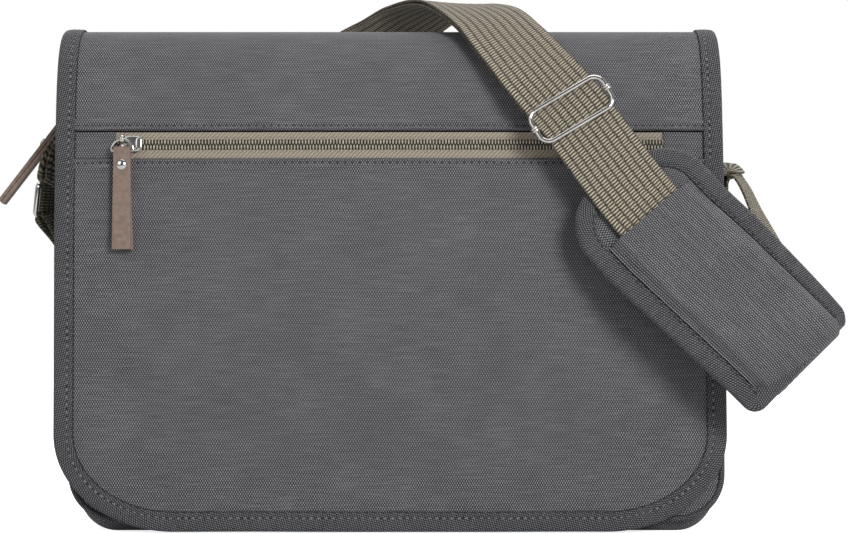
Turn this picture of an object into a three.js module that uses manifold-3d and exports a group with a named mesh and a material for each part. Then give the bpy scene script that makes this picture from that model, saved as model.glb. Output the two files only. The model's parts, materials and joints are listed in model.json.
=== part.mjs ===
// A shoulder bag of grey canvas: a hollow body with piped edges and a zip over its top, a bound flap with a
// zipped pocket that hangs over the front, and a webbing strap with a slide adjuster and a padded sleeve.
// Millimetres, +Z up. The front faces -Y, and the origin is the middle of the flat base.

import * as THREE from "three";
import { mergeVertices } from "three/addons/utils/BufferGeometryUtils.js";
import Module from "manifold-3d";

const wasm = await Module();
wasm.setup();

const { clamp, lerp, smoothstep, degToRad } = THREE.MathUtils;

// Cloth, wire and clearances
const GAP = 0.3;
const CANVAS = 1.6;
const WEBBING = 1.6;
const WEBBING_WIDTH = 40;
const PIPING_RADIUS = 1.6;
const SEAM = PIPING_RADIUS + GAP;

// Body: the seam outline of the front and back panels, and how far each panel leans and swells
const BODY_HALF_WIDTH = 177.4;
const SEAM_BOTTOM = 7.3;
const SEAM_TOP = 258;
const BOTTOM_CORNER = 24;
const TOP_CORNER = 26;
const FRONT_FOOT = 43;
const FRONT_LEAN = 21;
const FRONT_CROWN = 5.5;
const BACK_FOOT = 43;
const BACK_LEAN = 11;
const BACK_CROWN = 3;
const PANEL_RINGS = [0.06, 0.5, 0.82, 1];
const BASE_SWELL = 6.5;
const SIDE_SWELL = -2.5;
const TOP_SWELL = 4;
// Swell of the gusset across its depth: share of the half depth, and part of the full swell
const GUSSET_SWELL = [
  { share: 0, part: 1 },
  { share: 0.82, part: 1 },
  { share: 0.93, part: 0.55 },
  { share: 1, part: 0 },
];

// Main zip: over the top and down both sides as far as its ends
const ZIP_END_HEIGHT = 214;
const ZIP_BAND_SHARE = 0.3;
const ZIP_TAPE_SHARE = 0.285;
const MAIN_CHAIN_SHARE = 0.1;
const TAPE_OUT = 0.2;
const TAPE = 1;
const CHAIN_BASE = 0.3;
const CHAIN_TOP = 1.7;
const CHAIN_HALF = 3;

// Flap: its side profile from the seam on the back, over the top, to the hem in front
const FLAP_PROFILE = [
  { at: "back seam", y: 35.9, z: 238 },
  { at: "back rise", y: 36, z: 254 },
  { at: "back shoulder", y: 33.4, z: 263.5 },
  { at: "back roll", y: 21, z: 271.5 },
  { at: "crown", y: 0, z: 275.8 },
  { at: "front roll", y: -19, z: 271 },
  { at: "front shoulder", y: -29.5, z: 261 },
  { at: "brow", y: -36, z: 246 },
  { at: "zip", y: -41.3, z: 214 },
  { at: "face", y: -46, z: 161 },
  { at: "low face", y: -48.8, z: 80 },
  { at: "hem", y: -50, z: 0.9 },
];
const FLAP_SHIFT = -3.2;
const FLAP_HALF_WIDTH = 183;
const FLAP = 2;
const FLAP_CROWN = 4;
const FLAP_CROWN_START = 80;
const FLAP_SEAM_HALF = 171;
const FLAP_BINDING_START = 20;
const HEM_CORNER = { across: 66, up: 53 };
const BINDING = 0.9;
const BINDING_WIDTH = 9.4;
const SHEET_INSET = BINDING + GAP;

// Flap pocket zip: the window between the two folded edges, and its tabs
const WINDOW_TOP = 218.8;
const WINDOW_BOTTOM = 203.5;
const CHAIN_END = 149.5;
const END_TAB = 0.8;

// Zip sliders and leather pullers
const SLIDER_U = -141;
const SLIDER = { half: 6, halfWidth: 4.2, bottom: 2, top: 3.2 };
const RAIL_INNER = 3.4;
const BAIL = { hole: 1.5, wall: 0.9, width: 2.4, axis: 6.8 };
const RING = { half: 6, drop: 6.4, wire: 0.7 };
const LEATHER = { thick: 1.5, top: 9.6, bottom: 11.6, rivet: 14, taper: 7 };
const RIVET = { head: 3, dome: 1.3, shank: 1.3, hole: 1.7, washer: 2.4, washerThick: 0.6 };
const FRONT_PULLER_LENGTH = 57;
const MAIN_PULLER_LENGTH = 64.5;
const FRONT_PULLER_PRESS = 3.8;
const FRONT_BAIL = { along: -4.5, across: 1.8 };
const MAIN_BAIL = { along: 0, across: 0 };
const MAIN_SLIDER_HEIGHT = 235;
const MAIN_PULLER_LEAN = 37.5;

// Strap rings: rectangular wire rings, with the turn of their bars from Y, in degrees about Z
const RING_WIRE = 1.5;
const RING_HALF_LENGTH = 22.4;
const RING_CORNER = 2.2;
const LEFT_RING = {
  top: new THREE.Vector3(-202.5, 0, 190.5),
  bottom: new THREE.Vector3(-204.5, -0.33, 173.5),
  turn: 9.3,
};
const RIGHT_RING = {
  top: new THREE.Vector3(180.6, 0, 187),
  bottom: new THREE.Vector3(179.6, 0, 170),
  turn: 0,
};
const TAB_WIDTH = 38;

// Routes: a row for each bend, with the point on the middle line and the way that the outer face looks
const LEFT_TAB_ROUTE = [
  { at: "sewn end", x: -178.2, y: 0, z: 104, nx: -1, ny: 0, nz: 0 },
  { at: "last stitch", x: -178.2, y: 0, z: 128, nx: -1, ny: 0, nz: 0 },
  { at: "lift", x: -184.5, y: 0, z: 146, nx: -0.9, ny: 0, nz: -0.4 },
  { at: "bend", x: -193.6, y: 1.4, z: 162, nx: -0.84, ny: -0.1, nz: -0.55 },
  { at: "ring", ...LEFT_RING.bottom, nx: -0.69, ny: -0.11, nz: -0.7 },
];
const RIGHT_TAB_ROUTE = [
  { at: "sewn end", x: 178.2, y: 0, z: 104, nx: 1, ny: 0, nz: 0 },
  { at: "last stitch", x: 178.2, y: 0, z: 128, nx: 1, ny: 0, nz: 0 },
  { at: "rise", x: 178.3, y: 0, z: 150, nx: 1, ny: 0, nz: 0 },
  { at: "ring", ...RIGHT_RING.bottom, nx: 1, ny: 0, nz: 0 },
];
const STRAP_ROUTE = [
  { at: "right ring", ...RIGHT_RING.top, nx: 1, ny: 0, nz: 0 },
  { at: "right lead", x: 181.2, y: 0, z: 192, nx: 0.97, ny: 0, nz: -0.25 },
  { at: "right rise", x: 183.2, y: 0, z: 196.6, nx: 0.76, ny: 0.12, nz: -0.64 },
  { at: "right arch", x: 187.4, y: -0.4, z: 199.2, nx: -0.16, ny: 0.29, nz: -0.94 },
  { at: "right fall", x: 193.6, y: -2, z: 194.2, nx: -0.78, ny: 0.21, nz: -0.59 },
  { at: "right leg", x: 201.6, y: -6.5, z: 178, nx: -0.87, ny: 0.24, nz: -0.43 },
  { at: "behind pad", x: 209.2, y: -14, z: 156, nx: -0.79, ny: 0.44, nz: -0.42 },
  { at: "low leg", x: 214.6, y: -29, z: 130, nx: -0.23, ny: 0.77, nz: -0.6 },
  { at: "turn in", x: 216.6, y: -51, z: 106, nx: 0.66, ny: 0.42, nz: -0.62 },
  { at: "turn low", x: 216.2, y: -72, z: 96.6, nx: 0.73, ny: -0.03, nz: -0.69 },
  { at: "turn out", x: 210, y: -86, z: 100.6, nx: 0.41, ny: -0.72, nz: -0.56 },
  { at: "pad foot", x: 201.5, y: -90, z: 109, nx: 0.08, ny: -0.99, nz: -0.12 },
  { at: "pad middle", x: 167, y: -87, z: 141.5, nx: -0.05, ny: -0.99, nz: 0.05 },
  { at: "pad mouth", x: 135.2, y: -76, z: 172.7, nx: -0.1, ny: -0.95, nz: 0.25 },
  { at: "adjuster", x: 94.5, y: -61, z: 228, nx: -0.12, ny: -0.95, nz: 0.25 },
  { at: "front fall", x: 78, y: -53, z: 248, nx: -0.1, ny: -0.88, nz: 0.42 },
  { at: "front bend", x: 62, y: -38, z: 268, nx: -0.08, ny: -0.7, nz: 0.7 },
  { at: "front arch", x: 49, y: -20, z: 283, nx: -0.06, ny: -0.42, nz: 0.9 },
  { at: "arch top", x: 28, y: 10, z: 292.5, nx: 0, ny: 0.06, nz: 1 },
  { at: "back arch", x: 7, y: 36, z: 286, nx: -0.1, ny: 0.55, nz: 0.82 },
  { at: "back bend", x: -14, y: 53, z: 272.5, nx: -0.15, ny: 0.82, nz: 0.55 },
  { at: "back fall", x: -48, y: 62, z: 254, nx: -0.08, ny: 0.97, nz: 0.25 },
  { at: "back run", x: -98, y: 62, z: 235, nx: 0, ny: 1, nz: 0.05 },
  { at: "back end", x: -148, y: 57, z: 225, nx: -0.22, ny: 0.97, nz: 0.05 },
  { at: "back edge", x: -180.5, y: 44, z: 217, nx: -0.55, ny: 0.8, nz: 0.25 },
  { at: "left side", x: -186.5, y: 28, z: 211, nx: -0.78, ny: 0.4, nz: 0.48 },
  { at: "left rise", x: -194.3, y: 5.5, z: 206.5, nx: -0.87, ny: -0.03, nz: 0.48 },
  { at: "left lead", x: -199, y: 0.6, z: 199.9, nx: -0.91, ny: -0.15, nz: 0.38 },
  { at: "left ring", ...LEFT_RING.top, nx: -0.93, ny: -0.15, nz: 0.34 },
];
const LAYER_OFFSET = 1.1;
const RING_CLEARANCE = 0.45;
const RING_OFFSET = RING_WIRE + RING_CLEARANCE + WEBBING / 2;
const RING_REACH = 16;
const RIGHT_FOLD = 20;

// Slide adjuster: a wire frame over the webbing, a little askew, and a bar under it
const ADJUSTER = { halfLength: 22.3, halfWidth: 9.8, corner: 5, wire: 1.15, above: 4.9, skew: 6.5 };
const ADJUSTER_BAR = { radius: 1.5, below: 2, half: 24.4 };
const ADJUSTER_HUMP = 1.7;
const ADJUSTER_REACH = 14;
const ADJUSTER_FOLD = 24;
const FOLD_OFFSET = -3.4;

// Shoulder pad: a soft base under the webbing, a sleeve over it, and a bound edge all round
const PAD_DROP = 3;
const PAD_SLOT = 1;
const PAD_HALF_WIDTH = 40;
const PAD_LENGTH = 151;
const PAD_TOP_MARGIN = 31;
const PAD_FOOT_MARGIN = 11.2;
const PAD_HEAD_CORNER = 28;
const PAD_FOOT_CORNER = 13;
const PAD_EDGE = 2.4;
const PAD_PLUMP = 3.6;
const PAD_PLUMP_FROM = 7;
const PAD_PLUMP_TO = 20;
const PAD_LIP = { top: [5.5, 10.6], bottom: [6] };
const PAD_COLUMNS = [-1, -0.8, -0.5, 0, 0.5, 0.8, 1];
const SLEEVE = { thick: 1.2, flat: 21.6, edge: 28.6, over: 3, low: -1.7 };
const SLEEVE_MARGIN = 11.2;

// Facets: how many steps or sides each round or bent stretch has, and the lengths between webbing stations
const CORNER_STEPS = 4;
const SIDE_STEPS = 4;
const SHOULDER_STEPS = 2;
const FLAP_COLUMNS = 8;
const FLAP_ROW_STEP = 11;
const FLAP_LOWER_ROWS = 6;
const HEM_STEPS = 7;
const PAD_CORNER_STEPS = 4;
const FOLD_STEPS = 6;
const RING_ARC_STEPS = 10;
const DOME_STEPS = 4;
const CURVE_STEPS = 8;
const BEND_STEPS = 2;
const FINE_SIDES = 6;
const WIRE_SIDES = 8;
const RIVET_SIDES = 12;
const LENGTH_DIVISIONS = 1200;
const ROUTE_STEPS = [10, 7.5, 5, 3.5];
const ROUTE_TURN = 14;

// Colours and finishes
const finish = (color, roughness, metalness = 0) => ({ color, roughness, metalness });
const CANVAS_GREY = finish(0x5d5d62, 0.9);
const BINDING_GREY = finish(0x4c4d50, 0.9);
const WEBBING_TAUPE = finish(0x8a816d, 0.85);
const TAB_DARK = finish(0x4c4a40, 0.85);
const ZIP_TAUPE = finish(0x867d69, 0.85);
const CHAIN_TAUPE = finish(0x5a5444, 0.6);
const LEATHER_BROWN = finish(0x8d7868, 0.6);
const NICKEL = finish(0xd4d3d0, 0.18, 1);

const bag = new THREE.Group();

function addPiece(name, geometry, material, parent = bag) {
  const mesh = new THREE.Mesh(geometry, new THREE.MeshStandardMaterial(material));
  mesh.name = name;
  parent.add(mesh);
}

// A closed body from points and triangles, with the triangles turned to face out.
function body(points, faces) {
  const volume = faces.reduce(
    (sum, [a, b, c]) => sum + points[a].dot(points[b].clone().cross(points[c])),
    0,
  );
  const outward = volume > 0 ? faces : faces.map(([a, b, c]) => [a, c, b]);
  const geometry = new THREE.BufferGeometry().setFromPoints(points);
  geometry.setIndex(outward.flat());
  geometry.computeVertexNormals();
  return geometry;
}

// A body through a row of stations: each station places every point of the section, walls join
// neighbouring stations, and caps close the two ends unless the stations run round in a ring.
function loft(section, stations, place, ring = false) {
  const count = section.length;
  const points = stations.flatMap((station) => section.map((point) => place(station, point)));
  const faces = [];
  const spans = ring ? stations.length : stations.length - 1;
  for (let i = 0; i < spans; i++) {
    const here = i * count;
    const next = ((i + 1) % stations.length) * count;
    for (let j = 0; j < count; j++) {
      const k = (j + 1) % count;
      faces.push([here + j, here + k, next + k], [here + j, next + k, next + j]);
    }
  }
  if (!ring) {
    const end = (stations.length - 1) * count;
    for (const [a, b, c] of THREE.ShapeUtils.triangulateShape(section, [])) {
      faces.push([a, c, b], [end + a, end + b, end + c]);
    }
  }
  return body(points, faces);
}

// Section of a strip: along the values at its low side, and back along its high side.
function strip(values, low, high) {
  const there = values.map((value) => new THREE.Vector2(value, low));
  const back = values.map((value) => new THREE.Vector2(value, high)).reverse();
  return [...there, ...back];
}

function circle(radius, sides) {
  return Array.from({ length: sides }, (_, i) => {
    const angle = (2 * Math.PI * i) / sides;
    return new THREE.Vector2(radius * Math.cos(angle), radius * Math.sin(angle));
  });
}

function spread(from, to, steps) {
  return Array.from({ length: steps + 1 }, (_, i) => lerp(from, to, i / steps));
}

function join(first, ...others) {
  return toGeometry(others.reduce((sum, other) => sum.add(toSolid(other)), toSolid(first)));
}

function toSolid(source) {
  const geometry = source.clone();
  geometry.deleteAttribute("normal");
  geometry.deleteAttribute("uv");
  const merged = mergeVertices(geometry);
  return new wasm.Manifold(
    new wasm.Mesh({
      numProp: 3,
      vertProperties: new Float32Array(merged.attributes.position.array),
      triVerts: new Uint32Array(merged.index.array),
    }),
  );
}

function toGeometry(solid) {
  const mesh = solid.getMesh();
  const geometry = new THREE.BufferGeometry();
  geometry.setAttribute("position", new THREE.BufferAttribute(mesh.vertProperties, 3));
  geometry.setIndex(new THREE.BufferAttribute(mesh.triVerts, 1));
  geometry.computeVertexNormals();
  return geometry;
}

// Body walls

const frontY = (z) => -FRONT_FOOT + FRONT_LEAN * (z / SEAM_TOP) ** 2;
const backY = (z) => BACK_FOOT - BACK_LEAN * (z / SEAM_TOP) ** 2;

function straight(x0, z0, x1, z1, steps) {
  const length = Math.hypot(x1 - x0, z1 - z0);
  const nx = (z1 - z0) / length;
  const nz = (x0 - x1) / length;
  return spread(0, 1, steps).map((t) => ({ x: lerp(x0, x1, t), z: lerp(z0, z1, t), nx, nz }));
}

function corner(cx, cz, radius, from, to) {
  return spread(degToRad(from), degToRad(to), CORNER_STEPS).map((angle) => ({
    x: cx + radius * Math.cos(angle),
    z: cz + radius * Math.sin(angle),
    nx: Math.cos(angle),
    nz: Math.sin(angle),
  }));
}

// The seam outline in two runs, both ending a margin away from the ends of the zip: one down the left
// side, along the base and up the right side, and one up the right side, over the top and down the left.
function lowerRun(margin) {
  const w = BODY_HALF_WIDTH;
  const inner = w - BOTTOM_CORNER;
  const low = SEAM_BOTTOM + BOTTOM_CORNER;
  const end = ZIP_END_HEIGHT - margin;
  return [
    ...straight(-w, end, -w, low, SIDE_STEPS).slice(0, -1),
    ...corner(-inner, low, BOTTOM_CORNER, 180, 270),
    ...straight(-inner, SEAM_BOTTOM, inner, SEAM_BOTTOM, SIDE_STEPS).slice(1, -1),
    ...corner(inner, low, BOTTOM_CORNER, 270, 360),
    ...straight(w, low, w, end, SIDE_STEPS).slice(1),
  ];
}

function upperRun(margin) {
  const w = BODY_HALF_WIDTH;
  const inner = w - TOP_CORNER;
  const high = SEAM_TOP - TOP_CORNER;
  const end = ZIP_END_HEIGHT + margin;
  return [
    ...straight(w, end, w, high, SHOULDER_STEPS).slice(0, -1),
    ...corner(inner, high, TOP_CORNER, 0, 90),
    ...straight(inner, SEAM_TOP, -inner, SEAM_TOP, SIDE_STEPS).slice(1, -1),
    ...corner(-inner, high, TOP_CORNER, 90, 180),
    ...straight(-w, high, -w, end, SHOULDER_STEPS).slice(1),
  ];
}

const seamOutline = [...lowerRun(0).slice(0, -1), ...upperRun(0).slice(0, -1)];

function swellPart(share) {
  const above = GUSSET_SWELL.findIndex((row) => row.share >= Math.abs(share));
  const high = GUSSET_SWELL[above];
  const low = GUSSET_SWELL[Math.max(above - 1, 0)];
  const span = high.share - low.share || 1;
  return lerp(low.part, high.part, (Math.abs(share) - low.share) / span);
}

function swellOf({ nz }) {
  const towards = nz > 0 ? TOP_SWELL : BASE_SWELL;
  return lerp(SIDE_SWELL, towards, nz * nz);
}

// A point of the gusset: share runs from the front seam at -1 to the back seam at 1, and out is along the
// outward normal.
function wallPoint(station, { x: share, y: out }) {
  const offset = swellOf(station) * swellPart(share) + out;
  return new THREE.Vector3(
    station.x + station.nx * offset,
    lerp(frontY(station.z) + SEAM, backY(station.z) - SEAM, (share + 1) / 2),
    station.z + station.nz * offset,
  );
}

function panel(depthAt, crown) {
  const section = seamOutline.map((s) => new THREE.Vector2(s.x - s.nx * SEAM, s.z - s.nz * SEAM));
  const middle = (SEAM_BOTTOM + SEAM_TOP) / 2;
  const outside = PANEL_RINGS.map((size) => ({ size, side: CANVAS / 2 }));
  const inside = PANEL_RINGS.map((size) => ({ size, side: -CANVAS / 2 })).reverse();
  return loft(section, [...outside, ...inside], ({ size, side }, point) => {
    const z = middle + size * (point.y - middle);
    const swell = crown * (0.5 + 0.5 * Math.cos(Math.PI * size));
    return new THREE.Vector3(size * point.x, depthAt(z) + Math.sign(crown) * side + swell, z);
  });
}

function piping(depthAt) {
  return loft(
    circle(PIPING_RADIUS, FINE_SIDES),
    seamOutline,
    (s, point) => new THREE.Vector3(s.x + s.nx * point.x, depthAt(s.z) + point.y, s.z + s.nz * point.x),
    true,
  );
}

function addBody() {
  const half = CANVAS / 2;
  const shares = GUSSET_SWELL.map((row) => row.share);
  const rim = shares.filter((share) => share > ZIP_BAND_SHARE);
  const backBand = strip([ZIP_BAND_SHARE, ...rim], -half, half);
  const frontBand = strip([...rim.map((share) => -share).reverse(), -ZIP_BAND_SHARE], -half, half);
  const across = [...shares.slice(1).map((share) => -share).reverse(), ...shares];
  const tape = strip([-ZIP_TAPE_SHARE, ZIP_TAPE_SHARE], TAPE_OUT - TAPE, TAPE_OUT);
  const chainShares = [-MAIN_CHAIN_SHARE, MAIN_CHAIN_SHARE];
  const chain = strip(chainShares, TAPE_OUT + CHAIN_BASE, TAPE_OUT + CHAIN_TOP);
  addPiece("front_panel", panel(frontY, -FRONT_CROWN), CANVAS_GREY);
  addPiece("back_panel", panel(backY, BACK_CROWN), CANVAS_GREY);
  addPiece("gusset", loft(strip(across, -half, half), lowerRun(GAP / 2), wallPoint), CANVAS_GREY);
  addPiece("zip_band_front", loft(frontBand, upperRun(GAP / 2), wallPoint), CANVAS_GREY);
  addPiece("zip_band_back", loft(backBand, upperRun(GAP / 2), wallPoint), CANVAS_GREY);
  addPiece("main_zip_tape", loft(tape, upperRun(GAP / 2), wallPoint), ZIP_TAUPE);
  addPiece("main_zip_chain", loft(chain, upperRun(GAP / 2), wallPoint), CHAIN_TAUPE);
  addPiece("piping_front", piping(frontY), BINDING_GREY);
  addPiece("piping_back", piping(backY), BINDING_GREY);
}

// Flap

const flapCurve = new THREE.CatmullRomCurve3(FLAP_PROFILE.map(({ y, z }) => new THREE.Vector3(0, y, z)));
flapCurve.arcLengthDivisions = LENGTH_DIVISIONS;
const FLAP_LENGTH = flapCurve.getLength();

// A point of the flap: u across from its middle, s along its profile from the back seam, and h out of its
// middle surface.
function flapPoint(u, s, h) {
  const share = clamp(s / FLAP_LENGTH, 0, 1);
  const { y, z } = flapCurve.getPointAt(share);
  const normal = flapNormal(share);
  const down = clamp((s - FLAP_CROWN_START) / (FLAP_LENGTH - FLAP_CROWN_START), 0, 1);
  const bell = Math.sin(Math.PI * down) ** 2;
  const out = h + FLAP_CROWN * bell * (1 - (u / FLAP_HALF_WIDTH) ** 2);
  return new THREE.Vector3(FLAP_SHIFT + u, y + normal.y * out, z + normal.z * out);
}

function flapNormal(share) {
  const { y, z } = flapCurve.getTangentAt(share);
  return new THREE.Vector3(0, z, -y);
}

// Length along the profile at which its front comes down to a height.
function flapLengthAt(height) {
  let above = FLAP_CROWN_START / FLAP_LENGTH;
  let below = 1;
  while (below - above > 1e-6) {
    const middle = (above + below) / 2;
    if (flapCurve.getPointAt(middle).z > height) {
      above = middle;
    } else {
      below = middle;
    }
  }
  return above * FLAP_LENGTH;
}

const windowTop = flapLengthAt(WINDOW_TOP);
const windowBottom = flapLengthAt(WINDOW_BOTTOM);
const cornerStart = FLAP_LENGTH - HEM_CORNER.up;
const seamRows = spread(0, FLAP_BINDING_START - GAP, 2);
const upperSteps = Math.round((windowTop - FLAP_BINDING_START) / FLAP_ROW_STEP);
const upperRows = spread(FLAP_BINDING_START, windowTop, upperSteps);
const windowRows = [windowTop, windowBottom];
const lowerRows = spread(windowBottom, cornerStart, FLAP_LOWER_ROWS);
const cornerTurns = spread(0, Math.PI / 2, HEM_STEPS);

// Half the flap's width, a margin inside its edge, at a turn of the rounded hem corner.
function hemPoint(turn, inset) {
  return {
    u: FLAP_HALF_WIDTH - HEM_CORNER.across + (HEM_CORNER.across - inset) * Math.cos(turn),
    s: cornerStart + (HEM_CORNER.up - inset) * Math.sin(turn),
    across: -Math.cos(turn) / HEM_CORNER.across,
    along: -Math.sin(turn) / HEM_CORNER.up,
  };
}

// The flap's bound edge as a row of points with the way inwards: down its right side, round the hem and up.
function flapEdge() {
  const side = [...upperRows, ...windowRows.slice(1), ...lowerRows.slice(1, -1)];
  const right = side.map((s) => ({ u: FLAP_HALF_WIDTH, s, across: -1, along: 0 }));
  const round = cornerTurns.map((turn) => hemPoint(turn, 0));
  const hem = FLAP_HALF_WIDTH - HEM_CORNER.across;
  const middle = [0.5, 0].map((share) => ({ u: hem * share, s: FLAP_LENGTH, across: 0, along: -1 }));
  const half = [...right, ...round, ...middle];
  const mirrored = half.slice(0, -1).map((p) => ({ ...p, u: -p.u, across: -p.across })).reverse();
  return [...half, ...mirrored].map((p) => {
    const length = Math.hypot(p.across, p.along);
    return { u: p.u, s: p.s, across: p.across / length, along: p.along / length };
  });
}

// Section of a folded tape that grips an edge: a is measured in from the edge, h out of the sheet. Each lip
// has a row of stops, so that it can follow a bend.
function edgeTape(lowStops, highStops, low, high) {
  const along = (stops, h) => stops.map((a) => new THREE.Vector2(a, h));
  return [
    ...along([0, ...lowStops], low - BINDING),
    ...along([...lowStops].reverse(), low),
    ...along([BINDING], low),
    ...along([BINDING, ...highStops], high),
    ...along([...highStops].reverse(), high + BINDING),
    ...along([0], high + BINDING),
  ];
}

function addFlap() {
  const shares = spread(-1, 1, FLAP_COLUMNS);
  const sheet = strip(shares, -FLAP / 2, FLAP / 2);
  const inner = FLAP_HALF_WIDTH - SHEET_INSET;
  const onSheet = ({ u, s }, point) => flapPoint(u * point.x, s, point.y);
  const seam = seamRows.map((s) => ({ u: FLAP_SEAM_HALF, s }));
  const upper = [...seam, ...upperRows.map((s) => ({ u: inner, s }))];
  const lower = lowerRows.slice(0, -1).map((s) => ({ u: inner, s }));
  const rounded = cornerTurns.map((turn) => hemPoint(turn, SHEET_INSET));
  addPiece("flap_upper_panel", loft(sheet, upper, onSheet), CANVAS_GREY);
  addPiece("flap_lower_panel", loft(sheet, [...lower, ...rounded], onSheet), CANVAS_GREY);

  const slot = FLAP / 2 + GAP;
  const tape = edgeTape([BINDING_WIDTH], [BINDING_WIDTH], -slot, slot);
  const onEdge = (p, { x: a, y: h }) => flapPoint(p.u + a * p.across, p.s + a * p.along, h);
  addPiece("flap_binding", loft(tape, flapEdge(), onEdge), BINDING_GREY);

  const along = (u, { x: s, y: h }) => flapPoint(u, s, h);
  const windowSpan = [windowTop + GAP, windowBottom - GAP];
  const columns = shares.map((share) => share * inner);
  const zipMiddle = (windowTop + windowBottom) / 2;
  const chainSpan = [zipMiddle - CHAIN_HALF, zipMiddle + CHAIN_HALF];
  const chainColumns = [-CHAIN_END, ...columns.filter((u) => Math.abs(u) < CHAIN_END), CHAIN_END];
  addPiece("front_zip_tape", loft(strip(windowSpan, -TAPE, 0), columns, along), ZIP_TAUPE);
  const chain = strip(chainSpan, CHAIN_BASE, CHAIN_TOP);
  addPiece("front_zip_chain", loft(chain, chainColumns, along), CHAIN_TAUPE);
  const tab = strip(windowSpan, GAP, GAP + END_TAB);
  const tabEnds = [CHAIN_END + GAP, FLAP_HALF_WIDTH - BINDING_WIDTH - GAP];
  addPiece("zip_tab_right", loft(tab, tabEnds, along), CANVAS_GREY);
  addPiece("zip_tab_left", loft(tab, tabEnds.map((u) => -u), along), CANVAS_GREY);
}

// Zip sliders and pullers

// A wire bent into a flat closed loop in its own XZ plane.
function wireLoop(outline, radius, sides) {
  const stations = outline.map((point, i) => {
    const before = outline[(i + outline.length - 1) % outline.length];
    const after = outline[(i + 1) % outline.length];
    const first = point.clone().sub(before).normalize();
    const second = after.clone().sub(point).normalize();
    const tangent = first.clone().add(second).normalize();
    const side = new THREE.Vector2(tangent.y, -tangent.x).divideScalar(tangent.dot(first));
    return { point, side };
  });
  return loft(
    circle(radius, sides),
    stations,
    ({ point, side }, c) => new THREE.Vector3(point.x + side.x * c.x, c.y, point.y + side.y * c.x),
    true,
  );
}

function roundedRectangle(halfWidth, halfHeight, radius) {
  const shape = new THREE.Shape();
  shape.absarc(halfWidth - radius, halfHeight - radius, radius, 0, Math.PI / 2);
  shape.absarc(radius - halfWidth, halfHeight - radius, radius, Math.PI / 2, Math.PI);
  shape.absarc(radius - halfWidth, radius - halfHeight, radius, Math.PI, 1.5 * Math.PI);
  shape.absarc(halfWidth - radius, radius - halfHeight, radius, 1.5 * Math.PI, 2 * Math.PI);
  return shape.getPoints(BEND_STEPS).slice(0, -1);
}

function extrude(shape, depth, xAxis, yAxis, zAxis) {
  const settings = { depth, bevelEnabled: false, curveSegments: CURVE_STEPS };
  const geometry = new THREE.ExtrudeGeometry(shape, settings);
  geometry.translate(0, 0, -depth / 2);
  return geometry.applyMatrix4(new THREE.Matrix4().makeBasis(xAxis, yAxis, zAxis));
}

const X_AXIS = new THREE.Vector3(1, 0, 0);
const Y_AXIS = new THREE.Vector3(0, 1, 0);
const Z_AXIS = new THREE.Vector3(0, 0, 1);

// A slider over its chain, with X along the zip and Z out of the tape. The bail's hole looks along the
// zip, or across it.
function slider(seat, holeAlongZip) {
  const { half, halfWidth, bottom, top } = SLIDER;
  const nose = half - halfWidth;
  const outline = new THREE.Shape();
  outline.moveTo(-half, -halfWidth);
  outline.lineTo(nose, -halfWidth);
  outline.absarc(nose, 0, halfWidth, -Math.PI / 2, Math.PI / 2);
  outline.lineTo(-half, halfWidth);
  outline.closePath();
  const plate = extrude(outline, top - bottom, X_AXIS, Y_AXIS, Z_AXIS).translate(0, 0, (top + bottom) / 2);
  const railLength = half + nose;
  const rails = [-1, 1].map((side) =>
    new THREE.BoxGeometry(railLength, halfWidth - RAIL_INNER, bottom).translate(
      railLength / 2 - half,
      (side * (halfWidth + RAIL_INNER)) / 2,
      GAP + bottom / 2,
    ),
  );
  const { hole, wall, width, axis } = BAIL;
  const arch = new THREE.Shape();
  const foot = top - GAP;
  arch.moveTo(hole + wall, foot);
  arch.absarc(0, axis, hole + wall, 0, Math.PI);
  arch.lineTo(-hole - wall, foot);
  arch.lineTo(-hole, foot);
  arch.absarc(0, axis, hole, Math.PI, 0, true);
  arch.lineTo(hole, foot);
  arch.closePath();
  const bail = holeAlongZip
    ? extrude(arch, width, Y_AXIS, Z_AXIS, X_AXIS)
    : extrude(arch, width, X_AXIS, Z_AXIS, Y_AXIS.clone().negate());
  return join(plate, ...rails, bail.translate(seat.along, seat.across, 0));
}

// A D-ring hanging from its own top, which is the hinge: an arched wire and a straight bar under it.
function pullerRing() {
  const arc = spread(0, Math.PI, RING_ARC_STEPS).map(
    (angle) => new THREE.Vector2(RING.half * Math.cos(angle), RING.drop * (Math.sin(angle) - 1)),
  );
  return wireLoop(arc, RING.wire, FINE_SIDES);
}

// A strip of leather folded over the ring's bar, with the two layers riveted together under it.
function pullerTab(length) {
  const { thick, top, bottom, taper } = LEATHER;
  const near = GAP / 2;
  const around = RING.wire + GAP;
  const end = -RING.drop - length + around + thick;
  const fold = new THREE.Shape();
  fold.moveTo(near + thick, end);
  fold.lineTo(near + thick, -RING.drop - taper);
  fold.absarc(0, -RING.drop, around + thick, 0, Math.PI);
  fold.lineTo(-near - thick, -RING.drop - taper);
  fold.lineTo(-near - thick, end);
  fold.lineTo(-near, end);
  fold.lineTo(-near, -RING.drop - taper);
  fold.absarc(0, -RING.drop, around, Math.PI, 0, true);
  fold.lineTo(near, -RING.drop - taper);
  fold.lineTo(near, end);
  fold.closePath();
  const strip = extrude(fold, 1, Y_AXIS, Z_AXIS, X_AXIS);
  const { position } = strip.attributes;
  for (let i = 0; i < position.count; i++) {
    const width = lerp(top, bottom, clamp((position.getZ(i) + RING.drop) / (end + RING.drop), 0, 1));
    position.setX(i, position.getX(i) * width);
  }
  const drill = new THREE.CylinderGeometry(RIVET.hole, RIVET.hole, 4 * thick, RIVET_SIDES);
  return toGeometry(toSolid(strip).subtract(toSolid(drill.translate(0, 0, -LEATHER.rivet))));
}

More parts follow.
